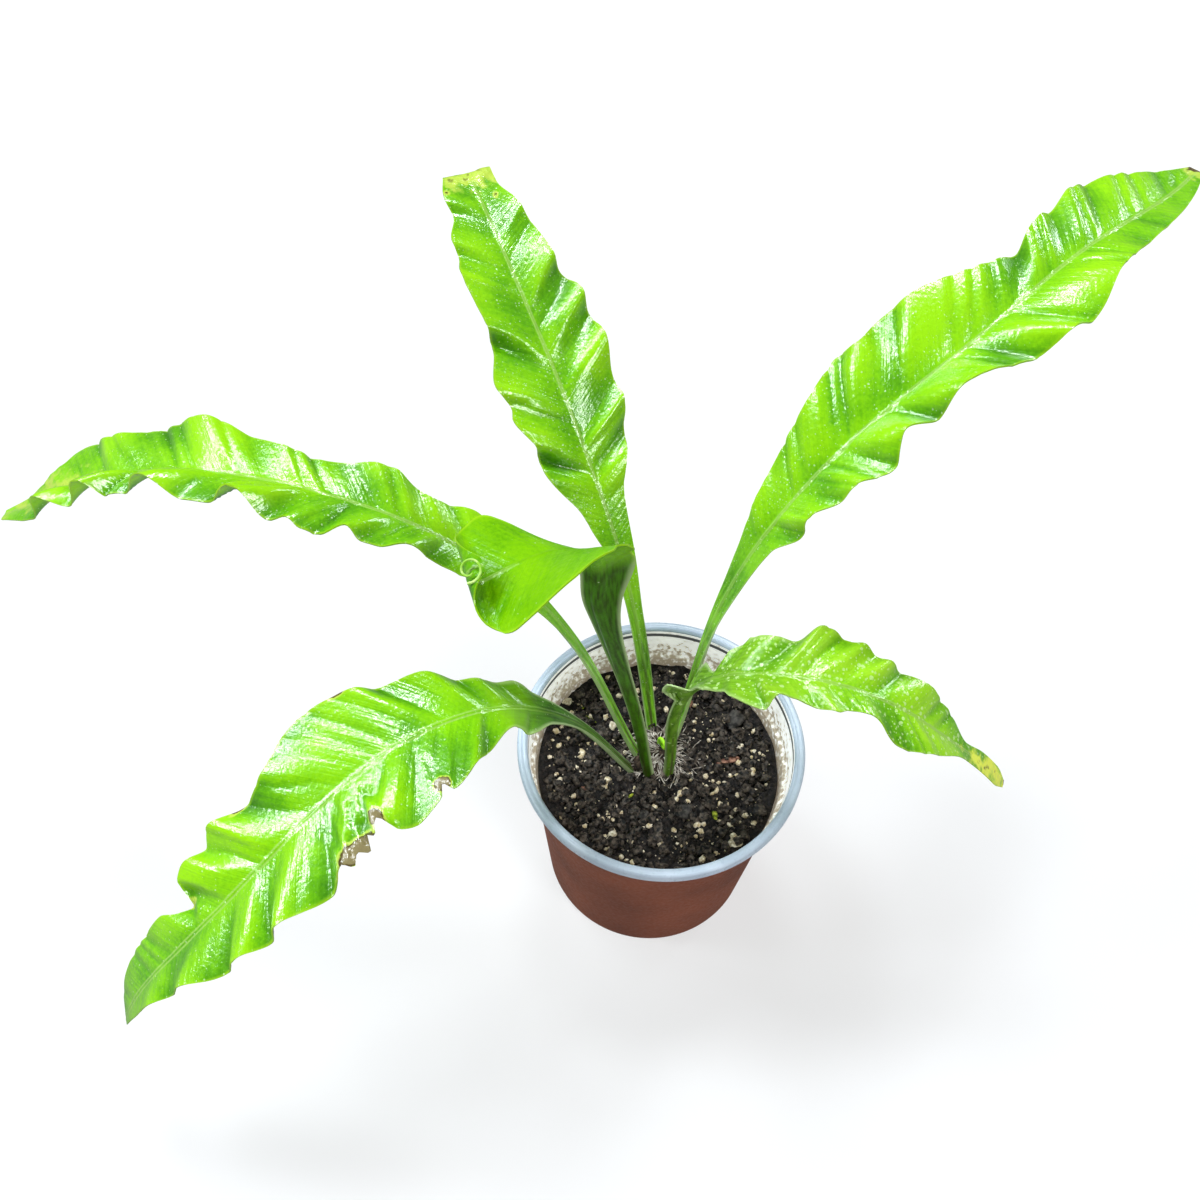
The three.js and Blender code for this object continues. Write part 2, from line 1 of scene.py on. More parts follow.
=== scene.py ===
"""Potted bird's nest fern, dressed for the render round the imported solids.

The fronds, the potting mix, the crown and the pot are modelled again in finer meshes that keep the
solids' places. Lengths are in millimetres until a mesh gets its coordinates, which are in metres.
Whatever is drawn at random starts from a seed, so the plant comes out the same each time.
"""

import logging
import math
import random
from dataclasses import dataclass
from enum import Enum
from typing import Any, Callable, Iterable, Sequence

import bpy
import numpy as np
from mathutils import Matrix, Vector, noise


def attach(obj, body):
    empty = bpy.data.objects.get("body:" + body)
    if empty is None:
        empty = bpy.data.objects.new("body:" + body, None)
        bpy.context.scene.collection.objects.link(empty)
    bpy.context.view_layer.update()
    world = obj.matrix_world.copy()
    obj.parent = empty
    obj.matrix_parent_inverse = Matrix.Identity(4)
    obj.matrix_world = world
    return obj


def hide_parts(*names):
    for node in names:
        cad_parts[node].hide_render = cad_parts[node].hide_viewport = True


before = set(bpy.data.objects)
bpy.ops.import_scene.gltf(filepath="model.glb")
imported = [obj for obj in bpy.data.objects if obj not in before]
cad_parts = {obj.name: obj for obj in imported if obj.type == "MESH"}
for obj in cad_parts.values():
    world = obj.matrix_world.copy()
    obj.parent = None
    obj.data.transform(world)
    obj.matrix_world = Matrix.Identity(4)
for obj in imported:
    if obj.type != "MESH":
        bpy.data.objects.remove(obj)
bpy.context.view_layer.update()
bpy.ops.object.select_all(action="DESELECT")

log = logging.getLogger("fern")
MM = 0.001
BODY = "root"
FOOT_HEIGHT = 78
CROWN_CENTRE = (-1.8, 5.4)
SMOOTH = {"interpolation_type": "SMOOTHSTEP"}
FLAT = {"noise_dimensions": "2D"}


class Material(Enum):
    """The record's material slots. Each frond holds one, but the pieces take their finish from the materials
    built here.
    """

    POT = "pot_plastic"
    MIX = "potting_mix"
    CROWN = "crown_scales"
    LEAF = "frond_leaf"
    YOUNG_LEAF = "young_frond"


class PotZone(Enum):
    """Material places on the pot."""

    OUTSIDE = 0
    FLANGE = 1
    INSIDE = 2


# Nodes and materials


def linear(colour: str) -> tuple[float, float, float, float]:
    """Turns an sRGB hex colour into the linear colour that shaders use.

    Args:
        colour: Six hex digits after a hash sign.

    Returns:
        Red, green, blue and an alpha of 1.
    """
    channels = [int(colour[k : k + 2], 16) / 255 for k in (1, 3, 5)]
    curved = [c / 12.92 if c <= 0.04045 else ((c + 0.055) / 1.055) ** 2.4 for c in channels]
    return (*curved, 1.0)


def add_node(
    tree: Any,
    kind: str,
    inputs: Sequence[Any] | dict[str, Any] = (),
    stops: Sequence[tuple[float, str]] = (),
    **settings: Any,
) -> Any:
    """Adds a shader node with its settings, values and links. A Mix node mixes colours.

    Args:
        tree: The material's node tree.
        kind: The node's type, without its ShaderNode prefix.
        inputs: What goes into its inputs that are in use, in their order or by name. A node or a socket
            is linked, a hex colour is made linear, and anything else is set as it is.
        stops: The places and colours of a colour ramp.
        **settings: The node's own properties.

    Returns:
        The new node.
    """
    node = tree.nodes.new("ShaderNode" + kind)
    if kind == "Mix":
        node.data_type = "RGBA"
    for name, value in settings.items():
        setattr(node, name, value)
    if stops:
        elements = node.color_ramp.elements
        while len(elements) < len(stops):
            elements.new(0.5)
        for element, (place, colour) in zip(elements, stops):
            element.position = place
            element.color = linear(colour)

    in_use = [socket for socket in node.inputs if socket.enabled]
    for key, value in inputs.items() if isinstance(inputs, dict) else enumerate(inputs):
        socket = node.inputs[key] if isinstance(key, str) else in_use[key]
        if isinstance(value, bpy.types.Node):
            value = next(output for output in value.outputs if output.enabled)
        if isinstance(value, bpy.types.NodeSocket):
            tree.links.new(value, socket)
        else:
            socket.default_value = linear(value) if isinstance(value, str) else value
    return node


def new_material(name: str) -> tuple[Any, Any]:
    """Makes an empty node material.

    Args:
        name: What the material is and how it was made.

    Returns:
        The material and its node tree.
    """
    material = bpy.data.materials.new(name)
    material.use_nodes = True
    material.node_tree.nodes.clear()
    return material, material.node_tree


def per_metre(size: float) -> float:
    """Gives the texture scale at which a pattern's features measure about size millimetres."""
    return 1000.0 / size


# Meshes and pieces


def active_piece() -> Any:
    """Returns the object that the last operator made or worked on."""
    return bpy.context.view_layer.objects.active


def pick(pieces: Sequence[Any]) -> None:
    """Selects some objects alone, with the first as the active one.

    Args:
        pieces: The objects.
    """
    bpy.ops.object.select_all(action="DESELECT")
    for piece in pieces:
        piece.select_set(True)
    bpy.context.view_layer.objects.active = pieces[0]


def apply_modifiers(piece: Any) -> None:
    """Applies every modifier of a piece, in order.

    Args:
        piece: The object.
    """
    pick([piece])
    for modifier in list(piece.modifiers):
        bpy.ops.object.modifier_apply(modifier=modifier.name)


def join(pieces: Sequence[Any]) -> Any:
    """Joins objects into the first one.

    Args:
        pieces: The objects.

    Returns:
        The first one, which now holds them all.
    """
    pick(pieces)
    bpy.ops.object.join()
    return active_piece()


def copies(model: Any, placements: Iterable[Matrix]) -> Any:
    """Repeats a modelled shape as one object, and removes the model.

    Args:
        model: The shape that repeats, at the origin.
        placements: Where each copy goes.

    Returns:
        The joined copies.
    """
    placed = []
    for placement in placements:
        copy = bpy.data.objects.new(model.name + "_copy", model.data.copy())
        copy.data.transform(placement)
        bpy.context.collection.objects.link(copy)
        placed.append(copy)
    bpy.data.objects.remove(model)
    return join(placed)


def rod(points: Sequence[Sequence[float]], radius: float, taper: float = 0.0, rounds: int = 1) -> Any:
    """Draws a thin round rod along some points.

    Args:
        points: Its points, in mm.
        radius: Its radius at the first point, in mm.
        taper: How much of the radius is lost by the last point, as a share.
        rounds: How finely its section is divided.

    Returns:
        The rod, still a curve.
    """
    curve = bpy.data.curves.new("rod", "CURVE")
    curve.dimensions = "3D"
    curve.bevel_depth = radius * MM
    curve.bevel_resolution = rounds
    curve.resolution_u = 4
    curve.use_fill_caps = True
    line = curve.splines.new("NURBS")
    line.points.add(len(points) - 1)
    for k, place in enumerate(points):
        line.points[k].co = (*(Vector(place) * MM), 1)
        line.points[k].radius = 1 - taper * k / len(points)
    line.use_endpoint_u = True
    line.order_u = 4
    drawn = bpy.data.objects.new("rod", curve)
    bpy.context.collection.objects.link(drawn)
    return drawn


def solid_rods(rods: Sequence[Any]) -> Any:
    """Turns drawn rods into meshes.

    Args:
        rods: The curves.

    Returns:
        All of them as one object.
    """
    pick(rods)
    bpy.ops.object.convert(target="MESH")
    return join(rods)


def reshape(piece: Any, move: Callable[[Vector], Vector]) -> None:
    """Moves every vertex of a piece.

    Args:
        piece: The object.
        move: Gives a vertex's new place from its old one.
    """
    for vertex in piece.data.vertices:
        vertex.co = move(vertex.co)
    piece.data.update()


def finish_piece(piece: Any, name: str, nodes: Sequence[str], smooth: float = 50) -> Any:
    """Names a finished piece, settles its place in its mesh and ties it to the frame.

    Args:
        piece: The modelled object.
        name: Its name in the model.
        nodes: The solids that it stands for.
        smooth: The edge angle, in degrees, under which its shading is smooth.

    Returns:
        The same object.
    """
    pick([piece])
    bpy.ops.object.transform_apply(location=True, rotation=True, scale=True)
    bpy.ops.object.shade_smooth_by_angle(angle=math.radians(smooth))
    piece.name = name
    piece.data.name = name
    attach(piece, BODY)
    if nodes:
        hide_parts(*nodes)
    log.info("%s: %d faces", name, len(piece.data.polygons))
    return piece


def dress(piece: Any, materials: Sequence[Any]) -> None:
    """Gives a piece its materials.

    Args:
        piece: The object.
        materials: Its materials, in slot order.
    """
    piece.data.materials.clear()
    for material in materials:
        piece.data.materials.append(material)


# Fronds


def along(values: Sequence[float], fraction: np.ndarray) -> np.ndarray:
    """Reads a smooth curve through evenly spaced values.

    Args:
        values: The values, from foot to tip.
        fraction: Places from 0 to 1.

    Returns:
        The curve's value at each place.
    """
    known = np.asarray(values, float)
    last = len(known) - 1
    place = np.clip(fraction, 0, 1) * last
    index = np.minimum(place.astype(int), last - 1)
    f = place - index

    def value(k: np.ndarray) -> np.ndarray:
        """Gives the values numbered k, and goes on straight past both ends."""
        inside = known[np.clip(k, 0, last)]
        before = np.where(k < 0, 2 * known[0] - known[1], inside)
        return np.where(k > last, 2 * known[last] - known[last - 1], before)

    a, b, c, d = value(index - 1), value(index), value(index + 1), value(index + 2)
    bend = (2 * a - 5 * b + 4 * c - d) * f**2 + (3 * b - a - 3 * c + d) * f**3
    return 0.5 * (2 * b + (c - a) * f + bend)


def through(places: Sequence[float], values: Sequence[float], at: np.ndarray) -> np.ndarray:
    """Reads a curve through unevenly spaced points that turns only at its points.

    Args:
        places: Where the points are, in rising order.
        values: The points' values.
        at: Where to read the curve.

    Returns:
        The curve's value at each place.
    """
    x, y = np.asarray(places, float), np.asarray(values, float)
    gap = np.diff(x)
    rise = np.diff(y) / gap
    product = rise[:-1] * rise[1:]
    steepness = np.where(product > 0, 2 * product / np.where(product > 0, rise[:-1] + rise[1:], 1), 0)
    slope = np.concatenate([[rise[0]], steepness, [rise[-1]]])
    k = np.clip(np.searchsorted(x, at, side="right") - 1, 0, len(gap) - 1)
    f = np.clip((at - x[k]) / gap[k], 0, 1)
    start = y[k] * (1 + 2 * f) * (1 - f) ** 2 + slope[k] * gap[k] * f * (1 - f) ** 2
    end = y[k + 1] * f**2 * (3 - 2 * f) - slope[k + 1] * gap[k] * f**2 * (1 - f)
    return start + end


def smooth_step(value: np.ndarray, low: float, high: float) -> np.ndarray:
    """Rises smoothly from 0 at low to 1 at high."""
    share = np.clip((value - low) / (high - low), 0, 1)
    return share * share * (3 - 2 * share)


@dataclass(frozen=True)
class Margin:
    """One edge of a frond, as points from foot to tip.

    Each point holds its place as a fraction of the length, the half-width there and how far the edge
    waves up out of the blade, in mm. Bulges and notches take turns.
    """

    points: Sequence[tuple[float, float, float]]

    def half_width(self, t: np.ndarray) -> np.ndarray:
        """Gives the half-width at each place, in mm."""
        return through([p[0] for p in self.points], [p[1] for p in self.points], t)

    def lift(self, t: np.ndarray) -> np.ndarray:
        """Gives how far the edge waves up at each place, in mm."""
        return through([p[0] for p in self.points], [p[2] for p in self.points], t)


@dataclass(frozen=True)
class Patch:
    """A dry or torn place on a blade.

    at is its place from foot to tip, and across its place from the left margin at -1 to the right at 1.
    """

    at: float
    across: float
    along_mm: float
    across_mm: float
    strength: float = 1.0


@dataclass(frozen=True)
class FrondShape:
    """A frond as a strip along its midrib.

    The lists hold values at even steps from foot to tip: rise and bearing of the midrib, roll of the
    strip about it, and fold of each half, in degrees. speckle is the share of chalky specks. curl says
    from which share of the length the tip curls, and how far in degrees. pleat is the height of the
    ridges in mm, and seed is what their pattern starts from.
    """

    foot: tuple[float, float]
    length: float
    rise: Sequence[float]
    bearing: Sequence[float]
    left: Margin
    right: Margin
    roll: Sequence[float] = (0, 0)
    fold_left: Sequence[float] = (12, 12, 12, 12, 12, 12, 12, 8)
    fold_right: Sequence[float] = (12, 12, 12, 12, 12, 12, 12, 8)
    curl: tuple[float, float] = (1.0, 0.0)
    pleat: float = 1.3
    seed: float = 0.0
    patches: Sequence[Patch] = ()
    speckle: Sequence[float] = (0.2, 0.2, 0.3, 0.3, 0.2)


@dataclass
class Frond:
    """One frond, foot to tip, with its stalk. Its sizes are in mm.

    The pleat's lengths are the wavelengths of the patterns that it is made of. crowding draws the
    columns of the grid towards the midrib.
    """

    name: str
    shape: FrondShape
    slot: Material
    skin: Any
    foot_height: float = FOOT_HEIGHT
    blade_thickness: float = 0.55
    keel_thickness: float = 2.4
    keel_half_width: float = 2.73
    ridge_height: float = 0.5
    ridge_half_width: float = 0.75
    least_half_width: float = 0.25
    vein_slant: float = 0.75
    drift_lengths: tuple[float, float] = (67, 29)
    fan_length: float = 43
    pillow_length: float = 16.5
    ripple_length: float = 5.1
    wave_spread: float = 0.9
    row_length: float = 1.1
    columns: int = 48
    crowding: float = 1.4
    steps: int = 480

    def rise_at(self, t: np.ndarray) -> np.ndarray:
        """Gives the midrib's rise, with the curl of its tip added.

        Args:
            t: Places from 0 at the foot to 1 at the tip.

        Returns:
            The rise at each place, in degrees.
        """
        start, turn = self.shape.curl
        curled = np.clip((t - start) / max(1 - start, 1e-6), 0, 1) * turn
        return along(self.shape.rise, t) + curled

    def midrib(self) -> np.ndarray:
        """Walks along the midrib in small steps from the foot.

        Returns:
            Its points in mm.
        """
        t = (np.arange(self.steps) + 0.5) / self.steps
        rise = np.radians(self.rise_at(t))
        bearing = np.radians(along(self.shape.bearing, t))
        level = np.cos(rise)
        step = np.stack([level * np.cos(bearing), level * np.sin(bearing), np.sin(rise)], -1)
        foot = np.array([*self.shape.foot, self.foot_height])
        return np.vstack([foot, foot + np.cumsum(step, 0) * self.shape.length / self.steps])

    def half_width(self, t: np.ndarray, side: np.ndarray) -> np.ndarray:
        """Gives the half-width on each side, in mm."""
        width = np.where(side < 0, self.shape.left.half_width(t), self.shape.right.half_width(t))
        return np.maximum(width, self.least_half_width)

    def pleats(
        self, course: np.ndarray, side: np.ndarray, width: np.ndarray, outward: np.ndarray
    ) -> np.ndarray:
        """Models the fine ridges that run from the midrib to the margin.

        They are soft pillows with sharp creases between them, and narrow ripples over them. A slow
        drift keeps their spacing uneven.

        Args:
            course: Where along the midrib each point's vein starts, in mm.
            side: -1 on the left and 1 on the right.
            width: The half-width at each point.
            outward: How far across the half each point lies.

        Returns:
            The height at each point, in mm.
        """
        phase = self.shape.seed + 1.7 * side
        turns = 2 * np.pi * course
        long, short = self.drift_lengths
        drift = np.sin(turns / long + 2.3 * phase) + 0.8 * np.sin(turns / short - phase)
        fan = 0.5 * np.sin(turns / self.fan_length + phase) * outward
        swing = np.pi * course / self.pillow_length + 1.2 * drift + fan + phase
        pillow = np.abs(np.sin(swing)) ** 0.75 - 0.7
        ripple = np.sin(turns / self.ripple_length + 2.4 * drift)
        strength = smooth_step(width, 5, 14) * outward**0.6 * (1.15 - 0.55 * outward)
        return self.shape.pleat * strength * (1.6 * pillow + 0.09 * ripple * drift)

    def surface(self, t: np.ndarray, u: np.ndarray) -> tuple[np.ndarray, np.ndarray, np.ndarray]:
        """Places points on the strip's upper surface.

        Args:
            t: How far along the frond each point lies, from 0 at the foot to 1 at the tip.
            u: How far across, from -1 at the left margin to 1 at the right.

        Returns:
            The points in mm, their distances from the midrib along the blade, and how high each
            lies on its wave and pleat, from -1 in a crease to 1 on a crest.
        """
        shape = self.shape
        rib = self.midrib()
        place = np.clip(t, 0, 1) * self.steps
        index = np.minimum(place.astype(int), self.steps - 1)
        f = (place - index)[:, None]
        points = rib[index] * (1 - f) + rib[index + 1] * f
        rise = np.radians(self.rise_at(t))
        bearing = np.radians(along(shape.bearing, t))
        roll = np.radians(along(shape.roll, t))[:, None]
        up = np.stack([-np.sin(rise) * np.cos(bearing), -np.sin(rise) * np.sin(bearing), np.cos(rise)], -1)
        right = np.stack([np.sin(bearing), -np.cos(bearing), np.zeros_like(bearing)], -1)
        rolled_right = right * np.cos(roll) + up * np.sin(roll)
        rolled_up = up * np.cos(roll) - right * np.sin(roll)

        side = np.where(u < 0, -1, 1)
        outward = np.abs(u)
        width = self.half_width(t, side)
        forward = self.vein_slant * width * (1 - outward)
        waved = t + forward / shape.length
        wave = np.where(side < 0, shape.left.lift(waved), shape.right.lift(waved))
        lift = wave * outward**self.wave_spread
        pleat = self.pleats(t * shape.length + forward, side, width, outward)
        # How high each point lies; the leaf material paints shade into the creases and light onto the crests
        # from it
        crest = np.clip(0.3 * lift + 0.6 * pleat, -1, 1)
        lift = lift + pleat
        reach = width * outward
        bend = np.where(side < 0, along(shape.fold_left, t), along(shape.fold_right, t))
        fold = np.radians(bend * (1 - outward / 2))
        ridge = self.ridge_height * np.exp(-((reach / self.ridge_half_width) ** 2)) * (1 - 0.6 * t)
        points = points + rolled_right * (side * reach * np.cos(fold))[:, None]
        points = points + rolled_up * (reach * np.sin(fold) + lift + ridge)[:, None]
        return points, side * reach, crest

    def keel(self, t: np.ndarray, distance: np.ndarray) -> np.ndarray:
        """Gives how much deeper the frond is under its midrib than its blade, in mm."""
        deepest = self.keel_thickness * (1 - t) ** 0.8
        return deepest * np.maximum(0, 1 - (distance / self.keel_half_width) ** 2)

    def marks(self, t: np.ndarray, u: np.ndarray, distance: np.ndarray) -> np.ndarray:
        """Gives the numbers that the leaf materials read at each point.

        Args:
            t: How far along the frond each point lies.
            u: How far across.
            distance: Its distance from the midrib along the blade, in mm.

        Returns:
            How far along, how far outward, how dry, and how densely speckled the blade is.
        """
        dry = np.zeros_like(t)
        for patch in self.shape.patches:
            half_width = self.half_width(np.array([patch.at]), np.array([np.sign(patch.across)]))
            middle = patch.across * half_width
            here = ((t - patch.at) * self.shape.length / patch.along_mm) ** 2
            here = here + ((distance - middle) / patch.across_mm) ** 2
            dry = np.maximum(dry, patch.strength * np.exp(-here))
        return np.stack([t, np.abs(u), dry, along(self.shape.speckle, t)], -1)

    def write_marks(
        self, mesh: Any, t: np.ndarray, u: np.ndarray, distance: np.ndarray, crest: np.ndarray
    ) -> None:
        """Writes the flat map and the marks that the leaf materials read onto the blade.

        Args:
            mesh: The blade's mesh, still a single layer.
            t: How far along the frond each vertex lies.
            u: How far across.
            distance: Its distance from the midrib along the blade, in mm.
            crest: How high it lies on its wave and pleat.
        """
        uv = mesh.uv_layers.active
        uv.name = "blade"
        corners = np.zeros(len(mesh.loops), int)
        mesh.loops.foreach_get("vertex_index", corners)
        flat_uv = np.stack([t * self.shape.length, distance], -1)[corners] * MM
        uv.data.foreach_set("uv", flat_uv.ravel())
        marks = mesh.color_attributes.new("blade_marks", "FLOAT_COLOR", "POINT")
        marks.data.foreach_set("color", self.marks(t, u, distance).ravel())
        relief = mesh.attributes.new("blade_crest", "FLOAT", "POINT")
        relief.data.foreach_set("value", crest)

    def thicken(self, blade: Any, t: np.ndarray, distance: np.ndarray) -> None:
        """Gives the blade its thickness downwards, deeper under the midrib.

        Args:
            blade: The blade, still a single layer.
            t: How far along the frond each vertex lies.
            distance: Its distance from the midrib along the blade, in mm.
        """
        deepest = self.blade_thickness + self.keel_thickness
        share = (self.blade_thickness + self.keel(t, distance)) / deepest
        group = blade.vertex_groups.new(name="depth")
        for index, weight in enumerate(share):
            group.add([index], float(weight), "REPLACE")
        wall = blade.modifiers.new("wall", "SOLIDIFY")
        wall.thickness = deepest * MM
        wall.offset = -1
        wall.vertex_group = "depth"
        wall.use_quality_normals = True
        apply_modifiers(blade)
        blade.vertex_groups.clear()

    def build(self) -> Any:
        """Models the frond as a grid that is laid on its surface and thickened.

        Returns:
            The finished piece.
        """
        rows = round(self.shape.length / self.row_length)
        bpy.ops.mesh.primitive_grid_add(x_subdivisions=self.columns, y_subdivisions=rows, size=2)
        blade = active_piece()
        mesh = blade.data
        flat = np.zeros(len(mesh.vertices) * 3)
        mesh.vertices.foreach_get("co", flat)
        across, up_grid, _ = flat.reshape(-1, 3).T
        t = (up_grid + 1) / 2
        u = np.sign(across) * np.abs(across) ** self.crowding
        points, distance, crest = self.surface(t, u)
        mesh.vertices.foreach_set("co", (points * MM).ravel())
        self.write_marks(mesh, t, u, distance, crest)
        self.thicken(blade, t, distance)
        dress(blade, [self.skin])
        return finish_piece(blade, self.name + "_leaf", [self.name], smooth=70)


# Leaf finish


@dataclass(frozen=True)
class BladeSockets:
    """What a leaf material reads of its blade, each as a shader socket.

    place holds Object coordinates. flat is the blade's own map in metres, and run, across and from_rib
    are its parts: along the midrib, across from it, and the distance from it. The others are shares:
    how far to the tip, how far out to the margin, how dry and how densely speckled. crest goes from -1
    in a crease to 1 on a crest.
    """

    place: Any
    flat: Any
    run: Any
    across: Any
    from_rib: Any
    tipward: Any
    outward: Any
    dry: Any
    speckle: Any
    crest: Any

    @classmethod
    def of(cls, tree: Any) -> "BladeSockets":
        """Adds the nodes that read a blade.

        Args:
            tree: The material's node tree.

        Returns:
            Their sockets.
        """
        marks = add_node(tree, "Attribute", attribute_name="blade_marks")
        tipward, outward, dry = add_node(tree, "SeparateColor", [marks]).outputs
        flat = add_node(tree, "UVMap", uv_map="blade").outputs["UV"]
        run, across, _ = add_node(tree, "SeparateXYZ", [flat]).outputs
        from_rib = add_node(tree, "Math", [across], operation="ABSOLUTE").outputs[0]
        place = add_node(tree, "TexCoord").outputs["Object"]
        crest = add_node(tree, "Attribute", attribute_name="blade_crest").outputs["Fac"]
        return cls(place, flat, run, across, from_rib, tipward, outward, dry, marks.outputs["Alpha"], crest)


@dataclass(frozen=True)
class LeafCuticle:
    """Skin of a fern frond: a waxed living cuticle over fine parallel side veins.

    The wax gives long soft window-like glints that the veins comb into streaks. Spacings, lengths and
    sizes are in mm, and places along the frond are shares of its length.
    """

    name: str = "waxed_leaf_cuticle"

    # Greens from painted crease shade to painted crest light, and how much each pattern shifts them
    darkest_green_and_crease_shade: str = "#327400"
    deep: str = "#5aa400"
    lime: str = "#78c000"
    brightest_green_and_crest_highlight: str = "#92d600"
    cloud: float = 30
    stipple: float = 1.3
    vein_share: float = 0.14
    stipple_share: float = 0.26
    painted_crest_shading_share: float = 0.26

    # Stalk, and where along the frond it turns into blade
    stalk: str = "#88cc34"
    stalk_dark: str = "#569016"
    stalk_edge: str = "#b8cc94"
    stalk_from: float = 0.12
    stalk_to: float = 0.42
    fibre_spacing: float = 1.1
    fibre_length: float = 9

    # Pale edge of the blade and of the stalk
    margin: str = "#9ccb1c"
    margin_from: float = 0.94
    stalk_edge_from: float = 0.74
    edge_strength: float = 0.65

    # Midrib: its lines lie rib_offset from the middle, and each pair says where a line is full and gone
    rib: str = "#9fc95c"
    rib_strength: float = 0.7
    rib_on_stalk: float = 0.25
    rib_offset: float = 0.4
    rib_line: tuple[float, float] = (0.1, 0.6)
    rib_from: float = 0.0
    groove: str = "#3c2c1a"
    groove_strength: float = 0.8
    groove_line: tuple[float, float] = (0.3, 1.1)
    groove_fades: tuple[float, float] = (0.06, 0.2)

    # Side veins
    vein_spacing: float = 1.5
    vein_length: float = 40
    vein_slant: float = 0.75
    vein_relief: float = 1.0

    # Chalky specks
    chalk: str = "#d5e8b4"
    speckle_spacing: float = 1.4
    speckle_size: float = 0.12
    speckle_strength: float = 0.5
    speckle_drift: float = 11
    speckle_rag: float = 0.7

    # Dying places
    yellow: str = "#b6d048"
    scorched: str = "#46300e"
    dead: str = "#857850"
    fray: float = 5

    # Relief and gloss
    pucker: float = 1.7
    relief: float = 0.4
    stalk_bump: float = 0.1
    blade_bump: float = 0.42
    sheen: str = "#a8d860"
    roughness: float = 0.32
    ior: float = 1.36
    wax: float = 1.0
    wax_on_stalk: float = 0.15
    wax_ior: float = 1.65
    wax_roughness: float = 0.21

    def side_veins(self, tree: Any, blade: BladeSockets) -> Any:
        """Draws the side veins, which leave the midrib forwards, as long thin streaks of noise.

        Args:
            tree: The material's node tree.
            blade: What it reads of the blade.

        Returns:
            The noise node.
        """
        slanted = [blade.from_rib, -self.vein_slant, blade.run]
        course = add_node(tree, "Math", slanted, operation="MULTIPLY_ADD")
        squeeze = self.vein_spacing / self.vein_length
        squeezed = add_node(tree, "Math", [blade.across, squeeze], operation="MULTIPLY")
        combed = add_node(tree, "CombineXYZ", [course, squeezed])
        return add_node(tree, "TexNoise", [combed, per_metre(self.vein_spacing), 2.0], **FLAT)

    def greens(self, tree: Any, blade: BladeSockets, veins: Any) -> Any:
        """Mixes the blade's greens, with painted shade in its creases and painted light on its crests.

        Args:
            tree: The material's node tree.
            blade: What it reads of the blade.
            veins: The noise of the side veins.

        Returns:
            The node that gives the colour.
        """
        stipple = add_node(tree, "TexNoise", [blade.place, per_metre(self.stipple), 2.0])
        tone = add_node(tree, "TexNoise", [blade.place, per_metre(self.cloud), 3.0])
        # The crest term paints shade into the creases and light onto the crests
        parts = ((veins, self.vein_share), (stipple, self.stipple_share), (blade.crest, self.painted_crest_shading_share))
        for part, share in parts:
            tone = add_node(tree, "Math", [part, share, tone], operation="MULTIPLY_ADD")
        stops = [(0.32, self.darkest_green_and_crease_shade), (0.56, self.deep), (0.7, self.lime), (0.92, self.brightest_green_and_crest_highlight)]
        return add_node(tree, "ValToRGB", [tone], stops)

    def fibrous_stalk(self, tree: Any, blade: BladeSockets) -> Any:
        """Mixes the stalk's greens, whose fibres run along it.

        Args:
            tree: The material's node tree.
            blade: What it reads of the blade.

        Returns:
            The node that gives the colour.
        """
        squeeze = self.fibre_spacing / self.fibre_length
        squeezed = add_node(tree, "Math", [blade.run, squeeze], operation="MULTIPLY")
        drawn = add_node(tree, "CombineXYZ", [squeezed, blade.across])
        fibres = add_node(tree, "TexNoise", [drawn, per_metre(self.fibre_spacing), 3.0], **FLAT)
        return add_node(tree, "ValToRGB", [fibres], [(0.36, self.stalk_dark), (0.62, self.stalk)])

    def ribbed(self, tree: Any, blade: BladeSockets, base: Any, stalk_part: Any) -> Any:
        """Draws the midrib over a colour.

        It is a pale line on each side of a ridge, so close on most fronds that the two look like one,
        and near the foot a dark groove runs between them.

        Args:
            tree: The material's node tree.
            blade: What it reads of the blade.
            base: The colour under the midrib.
            stalk_part: How much of the skin is stalk.

        Returns:
            The node that gives the colour.
        """
        off_line = add_node(tree, "Math", [blade.from_rib, self.rib_offset * MM], operation="SUBTRACT")
        beside = add_node(tree, "Math", [off_line], operation="ABSOLUTE")
        full, gone = (place * MM for place in self.rib_line)
        line = add_node(tree, "MapRange", [beside, full, gone, self.rib_strength, 0.0], **SMOOTH)
        weaker = add_node(tree, "MapRange", [stalk_part, 0.0, 1.0, 1.0, self.rib_on_stalk])
        start, end = self.rib_from, self.rib_from + 0.03
        begun = add_node(tree, "MapRange", [blade.tipward, start, end, 0.0, 1.0])
        share = add_node(tree, "Math", [begun, weaker], operation="MULTIPLY")
        shown = add_node(tree, "Math", [line, share], operation="MULTIPLY")
        lined = add_node(tree, "Mix", [shown, base, self.rib])

        full, gone = (place * MM for place in self.groove_line)
        near_rib = [blade.from_rib, full, gone, self.groove_strength, 0.0]
        middle = add_node(tree, "MapRange", near_rib, **SMOOTH)
        near_foot = add_node(tree, "MapRange", [blade.tipward, *self.groove_fades, 1.0, 0.1])
        sunk = add_node(tree, "Math", [middle, near_foot], operation="MULTIPLY")
        return add_node(tree, "Mix", [sunk, lined, self.groove])

